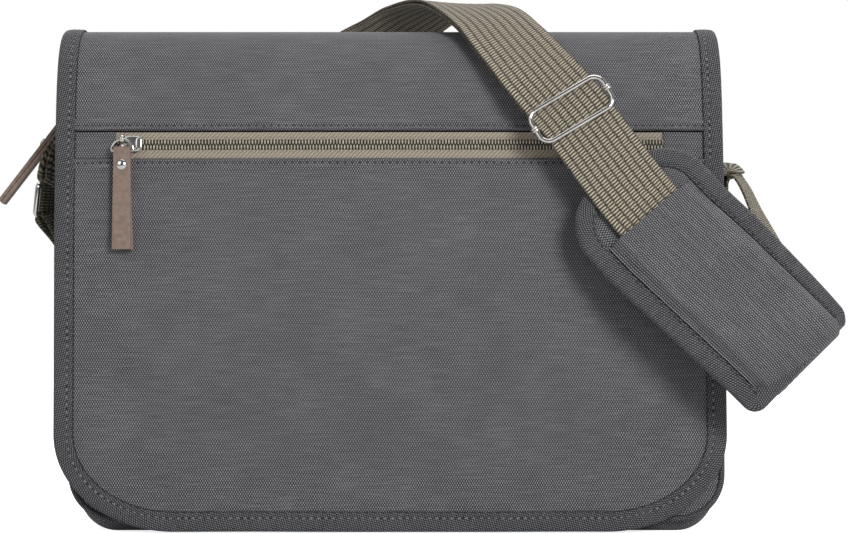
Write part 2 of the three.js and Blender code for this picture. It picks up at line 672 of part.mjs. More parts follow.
function pullerRivet() {
  const face = GAP / 2 + LEATHER.thick + GAP;
  const { head, dome, shank, washer, washerThick } = RIVET;
  const cap = spread(Math.PI / 2, 0, DOME_STEPS).map(
    (angle) => new THREE.Vector2(head * Math.cos(angle), -face - dome * Math.sin(angle)),
  );
  const profile = [
    ...cap,
    new THREE.Vector2(shank, -face),
    new THREE.Vector2(shank, face),
    new THREE.Vector2(washer, face),
    new THREE.Vector2(washer, face + washerThick),
    new THREE.Vector2(0, face + washerThick),
  ];
  profile[0].x = 0;
  return new THREE.LatheGeometry(profile, RIVET_SIDES).translate(0, 0, -LEATHER.rivet);
}

// A group at a point, with its own axes laid along the ones given.
function placedGroup(position, xAxis, yAxis, zAxis) {
  const group = new THREE.Group();
  group.position.copy(position);
  group.quaternion.setFromRotationMatrix(new THREE.Matrix4().makeBasis(xAxis, yAxis, zAxis));
  bag.add(group);
  return group;
}

// A puller of its own length hung from a hinge point: barAxis is the hinge line, hang is the way that the
// leather points.
function addPuller(name, length, hinge, barAxis, hang) {
  const up = hang.clone().negate();
  const group = placedGroup(hinge, barAxis, up.clone().cross(barAxis), up);
  addPiece(name + "_ring", pullerRing(), NICKEL, group);
  addPiece(name + "_leather", pullerTab(length), LEATHER_BROWN, group);
  addPiece(name + "_rivet", pullerRivet(), NICKEL, group);
}

function addFrontPuller() {
  const zipMiddle = (windowTop + windowBottom) / 2;
  const out = flapNormal(zipMiddle / FLAP_LENGTH);
  const down = out.clone().cross(X_AXIS).negate();
  const seat = flapPoint(SLIDER_U, zipMiddle, 0);
  const group = placedGroup(seat, X_AXIS, out.clone().cross(X_AXIS), out);
  addPiece("front_zip_slider", slider(FRONT_BAIL, true), NICKEL, group);
  const hinge = seat.clone().addScaledVector(out, BAIL.axis);
  hinge.addScaledVector(X_AXIS, FRONT_BAIL.along).addScaledVector(down, -FRONT_BAIL.across);
  const press = degToRad(FRONT_PULLER_PRESS);
  const hang = down.multiplyScalar(Math.cos(press)).addScaledVector(out, -Math.sin(press));
  addPuller("front_puller", FRONT_PULLER_LENGTH, hinge, X_AXIS, hang);
}

function addMainPuller() {
  const station = { x: -BODY_HALF_WIDTH, z: MAIN_SLIDER_HEIGHT, nx: -1, nz: 0 };
  const seat = wallPoint(station, { x: 0, y: TAPE_OUT });
  const out = X_AXIS.clone().negate();
  const group = placedGroup(seat, Z_AXIS, out.clone().cross(Z_AXIS), out);
  addPiece("main_zip_slider", slider(MAIN_BAIL, false), NICKEL, group);
  const hinge = seat.clone().addScaledVector(out, BAIL.axis);
  const lean = degToRad(MAIN_PULLER_LEAN);
  const hang = new THREE.Vector3(-Math.sin(lean), 0, -Math.cos(lean));
  addPuller("main_puller", MAIN_PULLER_LENGTH, hinge, Y_AXIS.clone().negate(), hang);
}

// Strap, rings and tabs

// A route through its rows: at(length) gives the point, the way along, the outer face and the way across.
class Route {
  constructor(rows) {
    this.path = new THREE.CatmullRomCurve3(rows.map(({ x, y, z }) => new THREE.Vector3(x, y, z)));
    this.face = new THREE.CatmullRomCurve3(rows.map(({ nx, ny, nz }) => new THREE.Vector3(nx, ny, nz)));
    this.path.arcLengthDivisions = LENGTH_DIVISIONS;
    this.length = this.path.getLength();
    this.stops = new Map(rows.map(({ at }, i) => [at, i / (rows.length - 1)]));
    this.lengths = this.path.getLengths();
    this.stations = [0];
    while (this.stations.at(-1) < this.length) {
      const here = this.stations.at(-1);
      const gentle = ROUTE_STEPS.find((step) => this.turnBetween(here, here + step) < ROUTE_TURN);
      this.stations.push(here + (gentle ?? ROUTE_STEPS.at(-1)));
    }
  }

  // The larger of the two angles, in degrees, by which the way along and the outer face turn.
  turnBetween(from, to) {
    const first = this.at(from);
    const second = this.at(to);
    const turn = Math.max(first.along.angleTo(second.along), first.face.angleTo(second.face));
    return THREE.MathUtils.radToDeg(turn);
  }

  lengthOf(stop) {
    return this.lengths[Math.round(this.stops.get(stop) * (this.lengths.length - 1))];
  }

  at(length) {
    const t = this.path.getUtoTmapping(clamp(length / this.length, 0, 1));
    const along = this.path.getTangent(t);
    const face = this.face.getPoint(t);
    face.addScaledVector(along, -face.dot(along)).normalize();
    return { point: this.path.getPoint(t), along, face, across: along.clone().cross(face) };
  }

  // Lengths from one place to another, with the route's own stations between them.
  steps(from, to) {
    const low = Math.min(from, to);
    const high = Math.max(from, to);
    const between = this.stations.filter((s) => s > low + 1 && s < high - 1);
    const all = [low, ...between, high];
    return from < to ? all : all.reverse();
  }
}

// Stations of one layer of webbing, offset from the route's middle line by a distance that may change.
function layer(route, from, to, offsetAt, faceSign) {
  return route.steps(from, to).map((length) => {
    const { point, face, across } = route.at(length);
    point.addScaledVector(face, offsetAt(length));
    return { point, face: face.multiplyScalar(faceSign), across };
  });
}

// Half a turn of webbing round a bar: it starts beside the bar at start and passes it on the far side.
function turnRound(centre, start, far, across, radius, faceSign) {
  return spread(0, Math.PI, FOLD_STEPS)
    .slice(1, -1)
    .map((angle) => {
      const out = start.clone().multiplyScalar(Math.cos(angle)).addScaledVector(far, Math.sin(angle));
      const point = centre.clone().addScaledVector(out, radius);
      return { point, face: out.multiplyScalar(faceSign), across };
    });
}

function ribbon(stations, width) {
  const section = strip([-width / 2, width / 2], -WEBBING / 2, WEBBING / 2);
  return loft(section, stations, ({ point, face, across }, { x, y }) =>
    point.clone().addScaledVector(across, x).addScaledVector(face, y),
  );
}

// A tab sewn to the side with both ends, folded round the lower bar of its ring.
function strapTab(rows) {
  const route = new Route(rows);
  const apart = (length) => {
    const opening = smoothstep(length, route.length - RING_REACH, route.length);
    return lerp((WEBBING + GAP) / 2, RING_OFFSET, opening);
  };
  const end = route.at(route.length);
  return ribbon(
    [
      ...layer(route, 0, route.length, apart, 1),
      ...turnRound(end.point, end.face, end.along, end.across, RING_OFFSET, 1),
      ...layer(route, route.length, 0, (length) => -apart(length), -1),
    ],
    TAB_WIDTH,
  );
}

function addRing(name, { top, bottom, turn }) {
  const middle = top.clone().add(bottom).divideScalar(2);
  const bar = Y_AXIS.clone().applyAxisAngle(Z_AXIS, degToRad(turn));
  const up = top.clone().sub(bottom);
  const halfHeight = up.length() / 2;
  up.normalize();
  const group = placedGroup(middle, bar, up.clone().cross(bar), up);
  const outline = roundedRectangle(RING_HALF_LENGTH, halfHeight, RING_CORNER);
  addPiece(name, wireLoop(outline, RING_WIRE, WIRE_SIDES), NICKEL, group);
}

const strap = new Route(STRAP_ROUTE);
const adjusterLength = strap.lengthOf("adjuster");
const padMouth = strap.lengthOf("pad mouth");

// A smooth hump of height 1 at a length of the strap, gone a reach away from it.
function hump(length, at, reach) {
  const share = Math.min(Math.abs(length - at) / reach, 1);
  return Math.cos((Math.PI * share) / 2) ** 2;
}

function addStrap() {
  const opened = (length) => {
    const fromEnd = Math.min(length, strap.length - length);
    return lerp(RING_OFFSET, LAYER_OFFSET, smoothstep(fromEnd, 0, RING_REACH));
  };
  const raised = (length) => hump(length, adjusterLength, ADJUSTER_REACH);
  const outer = (length) => opened(length) + ADJUSTER_HUMP * raised(length);
  const inner = (length) => -opened(length) + (ADJUSTER_HUMP + GAP / 2) * raised(length);
  const under = (length) => {
    const away = smoothstep(length - adjusterLength, 0, ADJUSTER_REACH);
    return lerp(-ADJUSTER_BAR.below - RING_OFFSET, FOLD_OFFSET, away);
  };
  const right = strap.at(0);
  const left = strap.at(strap.length);
  const bar = strap.at(adjusterLength);
  const barCentre = bar.point.clone().addScaledVector(bar.face, -ADJUSTER_BAR.below);
  const towardsPad = bar.along.clone().negate();
  const beforeRing = right.along.clone().negate();
  const stations = [
    ...layer(strap, RIGHT_FOLD, 0, (length) => -opened(length), -1),
    ...turnRound(right.point, right.face.clone().negate(), beforeRing, right.across, RING_OFFSET, 1),
    ...layer(strap, 0, strap.length, outer, 1),
    ...turnRound(left.point, left.face, left.along, left.across, RING_OFFSET, 1),
    ...layer(strap, strap.length, adjusterLength, inner, -1),
    ...turnRound(barCentre, bar.face, towardsPad, bar.across, RING_OFFSET, -1),
    ...layer(strap, adjusterLength, adjusterLength + ADJUSTER_FOLD, under, 1),
  ];
  addPiece("strap_webbing", ribbon(stations, WEBBING_WIDTH), WEBBING_TAUPE);

  const frame = wireLoop(
    roundedRectangle(ADJUSTER.halfLength, ADJUSTER.halfWidth, ADJUSTER.corner),
    ADJUSTER.wire,
    WIRE_SIDES,
  )
    .rotateY(degToRad(ADJUSTER.skew))
    .translate(0, -ADJUSTER.above, 0);
  const { radius, below, half } = ADJUSTER_BAR;
  const barRod = new THREE.CylinderGeometry(radius, radius, 2 * half, WIRE_SIDES)
    .rotateZ(Math.PI / 2)
    .translate(0, below, 0);
  const postLength = ADJUSTER.above + below;
  const posts = [-1, 1].map((side) =>
    new THREE.CylinderGeometry(ADJUSTER.wire, ADJUSTER.wire, postLength, WIRE_SIDES).translate(
      side * ADJUSTER.halfLength,
      postLength / 2 - ADJUSTER.above,
      0,
    ),
  );
  const inwards = bar.face.clone().negate();
  const group = placedGroup(bar.point, bar.across, inwards, bar.across.clone().cross(inwards));
  addPiece("strap_adjuster", join(frame, barRod, ...posts), NICKEL, group);
}

// Shoulder pad

const padHigh = padMouth + PAD_TOP_MARGIN;
const padLow = padHigh - PAD_LENGTH;

// A point on the strap's own surface: w across, s along the route, h out of its middle line.
function strapPoint(w, s, h) {
  const { point, face, across } = strap.at(s);
  return point.addScaledVector(across, w).addScaledVector(face, h);
}

// The pad's outline, an inset inside its edge, at one end's corner turn.
function padCorner(turn, inset, high) {
  const size = high ? PAD_HEAD_CORNER : PAD_FOOT_CORNER;
  const radius = size - inset;
  const centre = high ? padHigh - size : padLow + size;
  return {
    w: PAD_HALF_WIDTH - size + radius * Math.cos(turn),
    s: centre + (high ? 1 : -1) * radius * Math.sin(turn),
    across: -Math.cos(turn),
    along: (high ? -1 : 1) * Math.sin(turn),
  };
}

function addPad() {
  const turns = spread(0, Math.PI / 2, PAD_CORNER_STEPS);
  const straightSteps = strap.steps(padLow + PAD_FOOT_CORNER, padHigh - PAD_HEAD_CORNER).slice(1, -1);
  const edgeDistance = (w, s) => {
    const size = s > padMouth - PAD_LENGTH / 2 ? PAD_HEAD_CORNER : PAD_FOOT_CORNER;
    const dw = Math.max(Math.abs(w) - PAD_HALF_WIDTH + size, 0);
    const ds = Math.max(padLow + size - s, s - padHigh + size, 0);
    return Math.min(PAD_HALF_WIDTH - Math.abs(w), s - padLow, padHigh - s, size - Math.hypot(dw, ds));
  };
  const thickness = (w, s) =>
    PAD_EDGE + PAD_PLUMP * smoothstep(edgeDistance(w, s), PAD_PLUMP_FROM, PAD_PLUMP_TO);
  const rows = [
    ...turns.map((turn) => padCorner(turn, SHEET_INSET, false)).reverse(),
    ...straightSteps.map((s) => ({ w: PAD_HALF_WIDTH - SHEET_INSET, s })),
    ...turns.map((turn) => padCorner(turn, SHEET_INSET, true)),
  ];
  const base = loft(strip(PAD_COLUMNS, -1, 0), rows, (row, { x, y }) => {
    const w = x * row.w;
    return strapPoint(w, row.s, y * thickness(w, row.s) - PAD_DROP);
  });
  addPiece("shoulder_pad", base, CANVAS_GREY);

  const { thick, flat, edge, over, low } = SLEEVE;
  const roof = [
    [-edge, low],
    [-flat, over],
    [flat, over],
    [edge, low],
    [edge, low + thick],
    [flat, over + thick],
    [-flat, over + thick],
    [-edge, low + thick],
  ].map(([w, h]) => new THREE.Vector2(w, h));
  const sleeveSteps = strap.steps(padLow + PAD_FOOT_MARGIN, padMouth);
  const insideBinding = (s) => {
    const past = Math.max(s - padHigh + PAD_HEAD_CORNER, 0);
    return PAD_HALF_WIDTH - PAD_HEAD_CORNER + Math.sqrt((PAD_HEAD_CORNER - SLEEVE_MARGIN) ** 2 - past ** 2);
  };
  const onSleeve = (s, { x, y }) => strapPoint(clamp(x, -insideBinding(s), insideBinding(s)), s, y);
  addPiece("pad_sleeve", loft(roof, sleeveSteps, onSleeve), CANVAS_GREY);

  const right = [
    ...turns.map((turn) => padCorner(turn, 0, false)).reverse(),
    ...straightSteps.map((s) => ({ w: PAD_HALF_WIDTH, s, across: -1, along: 0 })),
    ...turns.map((turn) => padCorner(turn, 0, true)),
  ];
  const left = right.map((p) => ({ ...p, w: -p.w, across: -p.across })).reverse();
  const underside = -PAD_DROP - PAD_EDGE - PAD_SLOT;
  const tape = edgeTape(PAD_LIP.bottom, PAD_LIP.top, underside, PAD_SLOT - PAD_DROP);
  const onEdge = (p, { x: a, y: h }) => strapPoint(p.w + a * p.across, p.s + a * p.along, h);
  addPiece("pad_binding", loft(tape, [...right, ...left], onEdge, true), BINDING_GREY);
}

addBody();
addFlap();
addFrontPuller();
addMainPuller();
addPiece("strap_tab_left", strapTab(LEFT_TAB_ROUTE), TAB_DARK);
addPiece("strap_tab_right", strapTab(RIGHT_TAB_ROUTE), TAB_DARK);
addRing("strap_ring_left", LEFT_RING);
addRing("strap_ring_right", RIGHT_RING);
addStrap();
addPad();

export default bag;
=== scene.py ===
# %% [markdown]
# # A canvas shoulder bag, dressed in Blender
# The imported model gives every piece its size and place: a hollow canvas body, a bound
# flap with a zipped pocket, and a webbing strap that runs through a slide adjuster
# and a padded sleeve. This script keeps that frame and makes each piece again as a
# fine surface worked out with numpy, with stitches, zip teeth and woven finishes.

# %% Load the frame
import json
import math

import bpy
import numpy as np
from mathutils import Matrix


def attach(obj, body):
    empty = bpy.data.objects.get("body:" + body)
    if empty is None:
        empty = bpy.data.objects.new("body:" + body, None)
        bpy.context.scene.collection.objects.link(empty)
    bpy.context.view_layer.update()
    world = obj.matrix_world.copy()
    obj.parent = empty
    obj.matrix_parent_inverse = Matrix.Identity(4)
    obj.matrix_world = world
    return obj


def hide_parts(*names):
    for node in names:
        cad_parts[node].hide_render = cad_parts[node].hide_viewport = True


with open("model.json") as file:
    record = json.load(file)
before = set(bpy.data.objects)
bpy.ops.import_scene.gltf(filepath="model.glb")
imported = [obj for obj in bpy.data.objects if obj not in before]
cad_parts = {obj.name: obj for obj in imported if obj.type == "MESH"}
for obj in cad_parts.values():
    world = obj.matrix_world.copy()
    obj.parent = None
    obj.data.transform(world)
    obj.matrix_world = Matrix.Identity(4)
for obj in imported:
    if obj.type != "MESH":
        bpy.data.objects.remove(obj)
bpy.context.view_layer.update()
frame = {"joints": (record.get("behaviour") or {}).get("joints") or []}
MM = 0.001

# %% [markdown]
# ## Camera
# The bag was seen from straight in front, a little above the middle of its height, from well over a metre
# away. A level camera with a long lens keeps the flap's sides parallel, as they are in the picture.

# %% Camera
CAMERA_PLACE = (0.015, -1.3272, 0.1448)
LENS_MM = 100
SENSOR_MM = 36

camera_data = bpy.data.cameras.new("front_camera")
camera_data.lens = LENS_MM
camera_data.sensor_width = SENSOR_MM
camera = bpy.data.objects.new("front_camera", camera_data)
camera.location = CAMERA_PLACE
camera.rotation_euler = (math.pi / 2, 0, 0)
bpy.context.scene.collection.objects.link(camera)
bpy.context.scene.camera = camera
print("camera:", CAMERA_PLACE)

# %% [markdown]
# ## Nodes and colours
# Every finish here is a small tree of shader nodes. One helper adds a node, sets
# its properties, and fills its sockets with values or links, so a tree reads as a
# list of steps. Colours are written as the sRGB hex values that a colour picker
# shows, and one function turns them into the linear values that the shader mixes.

# %% Node and colour helpers
def srgb(text):
    """Linear RGBA of an sRGB hex colour: each channel is raised from its display curve to light."""
    channel = np.array([int(text[i:i + 2], 16) for i in (1, 3, 5)]) / 255
    light = np.where(channel <= 0.04045, channel / 12.92, ((channel + 0.055) / 1.055) ** 2.4)
    return (*light.tolist(), 1.0)


def add(tree, kind, inputs=None, **settings):
    """Adds one node. settings are its properties. inputs fill its sockets with
    values, or with links from an output socket or from the first output of a node."""
    node = tree.nodes.new(kind)
    for name, value in settings.items():
        setattr(node, name, value)
    for name, value in (inputs or {}).items():
        if isinstance(value, bpy.types.Node):
            value = value.outputs[0]
        if isinstance(value, bpy.types.NodeSocket):
            tree.links.new(value, node.inputs[name])
        else:
            node.inputs[name].default_value = value
    return node


def new_material(name, finish):
    """A material with its shader's constant sockets set from finish."""
    material = bpy.data.materials.new(name)
    material.use_nodes = True
    shader = material.node_tree.nodes["Principled BSDF"]
    for socket, value in finish.items():
        shader.inputs[socket].default_value = value
    return material, material.node_tree, shader


print("canvas grey in light:", [round(c, 3) for c in srgb("#5d5d62")[:3]])

# %% [markdown]
# ## Light and floor
# The bag stood on a white sweep under large soft lamps. A white world gives the even light, and is
# dimmer behind the camera, so that the plated wire has dark streaks to mirror. An area lamp high on
# the right gives the pad and strap their soft shadows. A pale floor carries the bag in every view. It
# is lit apart, as a sweep is, so it looks white and still throws only a little light up under the pad.

# %% World
bpy.context.scene.view_settings.view_transform = "Standard"
SKY_LOW = 0.55
SKY_HIGH = 0.36
SKY_BEHIND = 0.3
WHITE = (1, 1, 1, 1)

world = bpy.data.worlds.new("studio")
world.use_nodes = True
bpy.context.scene.world = world
sky = world.node_tree
sky.nodes.clear()
direction = add(sky, "ShaderNodeTexCoord")
height = add(sky, "ShaderNodeSeparateXYZ", {0: direction.outputs["Generated"]})
dome = add(sky, "ShaderNodeMapRange", {0: height.outputs["Z"], 1: -0.2, 2: 0.9, 3: SKY_LOW, 4: SKY_HIGH})
dim = add(sky, "ShaderNodeMapRange", {0: height.outputs["Y"], 1: -0.8, 2: 0.3, 3: SKY_BEHIND, 4: 1.0})
strength = add(sky, "ShaderNodeMath", {0: dome, 1: dim}, operation="MULTIPLY")
glow = add(sky, "ShaderNodeBackground", {"Color": WHITE, "Strength": strength})
paper = add(sky, "ShaderNodeBackground", {"Color": WHITE, "Strength": 1.0})
seen = add(sky, "ShaderNodeLightPath")
both = add(sky, "ShaderNodeMixShader", {0: seen.outputs["Is Camera Ray"], 1: glow, 2: paper})
add(sky, "ShaderNodeOutputWorld", {0: both})
print("sky:", SKY_LOW, "low and", SKY_HIGH, "high")


# %% Lamps
def lamp(name, place, target, size, watts):
    """A square area lamp at place, turned to look at target."""
    data = bpy.data.lights.new(name, "AREA")
    data.shape = "SQUARE"
    data.size = size
    data.energy = watts
    light = bpy.data.objects.new(name, data)
    away = np.array(place, float) - np.array(target, float)
    turn = math.atan2(away[0], -away[1])
    tilt = math.atan2(math.hypot(away[0], away[1]), away[2])
    light.location = place
    light.rotation_euler = (tilt, 0, turn)
    bpy.context.scene.collection.objects.link(light)
    print(f"lamp {name}: {watts} W")


lamp("key", (0.85, -2, 0.95), (0, 0, 0.15), size=0.6, watts=38)
lamp("fill", (-1.3, -1.8, 1.2), (0, 0, 0.15), size=1.4, watts=8)
lamp("top", (0.1, 0.3, 2.2), (0, 0, 0), size=1.8, watts=20)
lamp("back", (-0.4, 1.9, 1.2), (0, 0, 0.15), size=1.4, watts=12)

# %% Floor
FLOOR_SIZE = 60
FLOOR_GLOW = 0.85
FLOOR_BOUNCE = 0.05

half_floor = FLOOR_SIZE / 2
floor_mesh = bpy.data.meshes.new("floor")
floor_corners = [(-half_floor, -half_floor, 0), (half_floor, -half_floor, 0)]
floor_corners += [(half_floor, half_floor, 0), (-half_floor, half_floor, 0)]
floor_mesh.from_pydata(floor_corners, [], [(0, 1, 2, 3)])
floor = bpy.data.objects.new("floor", floor_mesh)
bpy.context.scene.collection.objects.link(floor)
# Matt white paper: it scatters light evenly, and a glow that only the
# eye sees stands for the lamps on the sweep.
white_paper, paper_tree, paper_shader = new_material("matt_white_paper", {
    "Base Color": srgb("#d6d6d6"),
    "Roughness": 0.9,
    "Specular IOR Level": 0.1,
    "Emission Color": WHITE,
})
eye = add(paper_tree, "ShaderNodeLightPath")
paper_glow = add(
    paper_tree, "ShaderNodeMapRange", {0: eye.outputs["Is Camera Ray"], 3: FLOOR_BOUNCE, 4: FLOOR_GLOW})
paper_tree.links.new(paper_glow.outputs[0], paper_shader.inputs["Emission Strength"])
floor_mesh.materials.append(white_paper)
print("floor:", FLOOR_SIZE, "m square")

# %% [markdown]
# ## Meshes from grids
# Every surface below is a grid of points: rows along the piece and columns round its
# section. The helper joins neighbours with quads, closes each section, fills both ends
# or joins them into a ring, and keeps a UV map in metres, so that a weave has the same
# thread spacing on every piece. The sign of the volume says whether the faces look out.

# %% Grid helpers
def unit(vectors):
    """Vectors divided by their own lengths."""
    return vectors / np.maximum(np.linalg.norm(vectors, axis=-1, keepdims=True), 1e-12)


def together(*values):
    """Arrays that fit each other's shapes, stacked as the coordinates of points."""
    return np.stack(np.broadcast_arrays(*values), -1)


def there_and_back(values):
    """A row of values and then the same backwards, as along one face
    of a sheet and back along the other."""
    return np.concatenate([values, values[..., ::-1]], -1)


def smooth(value, low, high):
    """Rises from 0 at low to 1 at high as 3t^2 - 2t^3."""
    t = np.clip((value - low) / (high - low), 0, 1)
    return t * t * (3 - 2 * t)


def run_of(points):
    """Length along a row of points, from 0 at the first."""
    return np.concatenate([[0], np.cumsum(np.linalg.norm(np.diff(points, axis=0), axis=1))])


def measured_uv(points, ring):
    """UV in metres from the mean spacing of the columns and of the rows."""
    across = np.concatenate([points, points[:, :1]], 1)
    along = np.concatenate([points, points[:1]]) if ring else points
    u = np.linalg.norm(np.diff(across, axis=1), axis=2).mean(0)
    v = np.linalg.norm(np.diff(along, axis=0), axis=2).mean(1)
    u, v = (np.concatenate([[0], np.cumsum(step)]) for step in (u, v))
    return together(u, v[:, None])


def grid(points, uv=None, ring=False):
    """Quads over points[row, column], where every row is a closed section.
    ring joins the last row to the first. Otherwise the first and last
    section are filled with a ladder of quads between opposite points."""
    rows, columns = points.shape[:2]
    uv = measured_uv(points, ring) if uv is None else np.concatenate([uv, uv[:, :1]], 1)
    i, j = np.meshgrid(np.arange(rows if ring else rows - 1), np.arange(columns), indexing="ij")
    row = np.stack([i, i, i + 1, i + 1], -1).reshape(-1, 4)
    column = np.stack([j, j + 1, j + 1, j], -1).reshape(-1, 4)
    quads = row % rows * columns + column % columns
    corners = uv[row, column]
    if not ring:
        k = np.arange(columns // 2 - 1)
        ladder = np.stack([k, k + 1, columns - 2 - k, columns - 1 - k], -1)
        quads = np.vstack([quads, ladder[:, ::-1], ladder + (rows - 1) * columns])
        corners = np.vstack([corners, uv[0, ladder[:, ::-1]], uv[-1, ladder]])
    flat = points.reshape(-1, 3)
    a, b, c, d = (flat[quads[:, n]] for n in range(4))
    volume = np.einsum("ij,ij->", a, np.cross(b, c)) + np.einsum("ij,ij->", a, np.cross(c, d))
    if volume < 0:
        quads, corners = quads[:, ::-1], corners[:, ::-1]
    return flat, quads, corners


def merge(parts):
    """Several parts as one: points in a row, with each part's quads counted on from the last."""
    start = np.cumsum([0] + [len(points) for points, _, _ in parts])
    points = np.vstack([part[0] for part in parts])
    quads = np.vstack([part[1] + n for part, n in zip(parts, start)])
    return points, quads, np.vstack([part[2] for part in parts])


print("two rows of four points:", len(grid(np.zeros((2, 4, 3)))[1]), "faces")

# %% Piece and stitch helpers
THREAD_TAPER = 0.96
STITCH_BOW = 0.35 * MM


def piece(name, parts, material, slot, stands_for=(), body="bag", sharp=40):
    """A mesh object from parts, smooth except where faces meet at more
    than sharp degrees, riding on a body."""
    points, quads, corners = merge(parts)
    mesh = bpy.data.meshes.new(name)
    mesh.vertices.add(len(points))
    mesh.vertices.foreach_set("co", points.astype(np.float32).ravel())
    mesh.loops.add(quads.size)
    mesh.loops.foreach_set("vertex_index", quads.astype(np.int32).ravel())
    mesh.polygons.add(len(quads))
    mesh.polygons.foreach_set("loop_start", np.arange(0, quads.size, 4, dtype=np.int32))
    mesh.uv_layers.new(name="cloth").data.foreach_set("uv", corners.astype(np.float32).ravel())
    mesh.update(calc_edges=True)
    mesh.shade_smooth()
    mesh.set_sharp_from_angle(angle=math.radians(sharp))
    mesh.materials.append(material)
    made = bpy.data.objects.new(name, mesh)
    bpy.context.scene.collection.objects.link(made)
    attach(made, body)
    if stands_for:
        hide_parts(*stands_for)
    print(f"{name}: {2 * len(quads)} triangles")
    return made


def scatter(template, centre, first, second, third):
    """Copies of a small part at each centre, with its x, y and z laid along three rows of unit vectors."""
    points, quads, corners = template
    axes = np.stack([first, second, third], 1)
    placed = centre[:, None] + np.einsum("vk,nkc->nvc", points, axes)
    step = np.arange(len(centre))[:, None, None] * len(points)
    return placed.reshape(-1, 3), (quads[None] + step).reshape(-1, 4), np.tile(corners, (len(centre), 1, 1))


def ring_section(radius, sides, flat=1.0):
    """A circle, or an ellipse flattened in its second direction."""
    angle = 2 * np.pi * np.arange(sides) / sides
    return radius * np.stack([np.cos(angle), flat * np.sin(angle)], -1)


def grain_of_thread(length, radius, bow, sides=6, steps=5):
    """One stitch: a fat thread along x, thin at both ends, which bows
    out of the cloth by t^2 from its middle."""
    t = np.linspace(-1, 1, steps)[:, None]
    swell = radius * np.sqrt(1 - THREAD_TAPER * t * t)
    section = ring_section(1, sides)
    x = np.broadcast_to(t * length / 2, (steps, sides))
    return grid(np.stack([x, swell * section[:, 0], swell * section[:, 1] - bow * t * t], -1))


def stitches(points, normals, pitch, length, radius, first=0.5):
    """A row of stitches along a line on cloth: one every pitch, along the line, with
    its bow along the normal. first is the share of a pitch before the first one."""
    run = run_of(points)
    middle = np.arange(first * pitch, run[-1], pitch)
    at = lambda s, rows: np.stack([np.interp(s, run, rows[:, k]) for k in range(3)], -1)
    along = unit(at(middle + 0.2 * MM, points) - at(middle - 0.2 * MM, points))
    out = at(middle, normals)
    out = unit(out - along * np.sum(out * along, 1, keepdims=True))
    thread = grain_of_thread(length, radius, STITCH_BOW)
    return scatter(thread, at(middle, points), along, np.cross(out, along), out)


def sewn(line_at, height, **thread):
    """Stitches along the line that line_at gives for a height over the
    cloth, bowed the way that the line rises."""
    line = line_at(height)
    return stitches(line, unit(line_at(height + 1 * MM) - line), **thread)


def surface_frame(surface, a, b, step=0.1 * MM):
    """Origin, two unit tangents and the unit normal of a surface of
    two parameters, by small differences."""
    first = unit(surface(a + step, b) - surface(a - step, b))
    second = unit(surface(a, b + step) - surface(a, b - step))
    return surface(a, b), first, second, unit(np.cross(first, second))


print("one stitch:", len(grain_of_thread(2 * MM, 0.3 * MM, 0)[1]), "faces")

# %% [markdown]
# ## Canvas
# The bag is sewn from a heavy plain-weave cotton canvas: each thread passes over one and under one,
# so the crossings stand up in offset rows. The product of two sine waves has that layout, and the colour
# follows the same height: painted light on the raised crossings and painted shade in the gaps. Noise
# stretched along the threads gives the slubs, and slow noise gives the uneven dye. An image would do too,
# but the formula keeps its thread spacing on any piece.

# %% Canvas and binding
WARP_SPACING = 0.68 * MM
WEFT_SPACING = 1.19 * MM


def wandering_uv(tree, scale, reach):
    """The cloth's UV map, and the same map moved a little by noise, as the threads of real cloth wander."""
    uv = add(tree, "ShaderNodeUVMap", uv_map="cloth")
    noise = add(tree, "ShaderNodeTexNoise", {"Vector": uv, "Scale": scale, "Detail": 2.0})
    shift = add(
        tree, "ShaderNodeVectorMath", {0: noise.outputs["Color"], 1: (0.5,) * 3}, operation="SUBTRACT")
    bent = add(tree, "ShaderNodeVectorMath", {0: shift, 1: (reach,) * 3, 2: uv}, operation="MULTIPLY_ADD")
    return uv, bent


def dye_shade_and_raise(tree, shader, dark, light, tone, height, strength, depth):
    """The last steps of every woven finish: tone mixes two colours, and height
    becomes a bump of a depth in metres. Where tone follows the height, the
    mix is painted light on the high threads and painted shade in the hollows."""
    colour = add(tree, "ShaderNodeMix", {0: tone, 6: srgb(dark), 7: srgb(light)}, data_type="RGBA")
    bump = add(tree, "ShaderNodeBump", {"Strength": strength, "Distance": depth, "Height": height})
    tree.links.new(colour.outputs[2], shader.inputs["Base Color"])
    tree.links.new(bump.outputs[0], shader.inputs["Normal"])


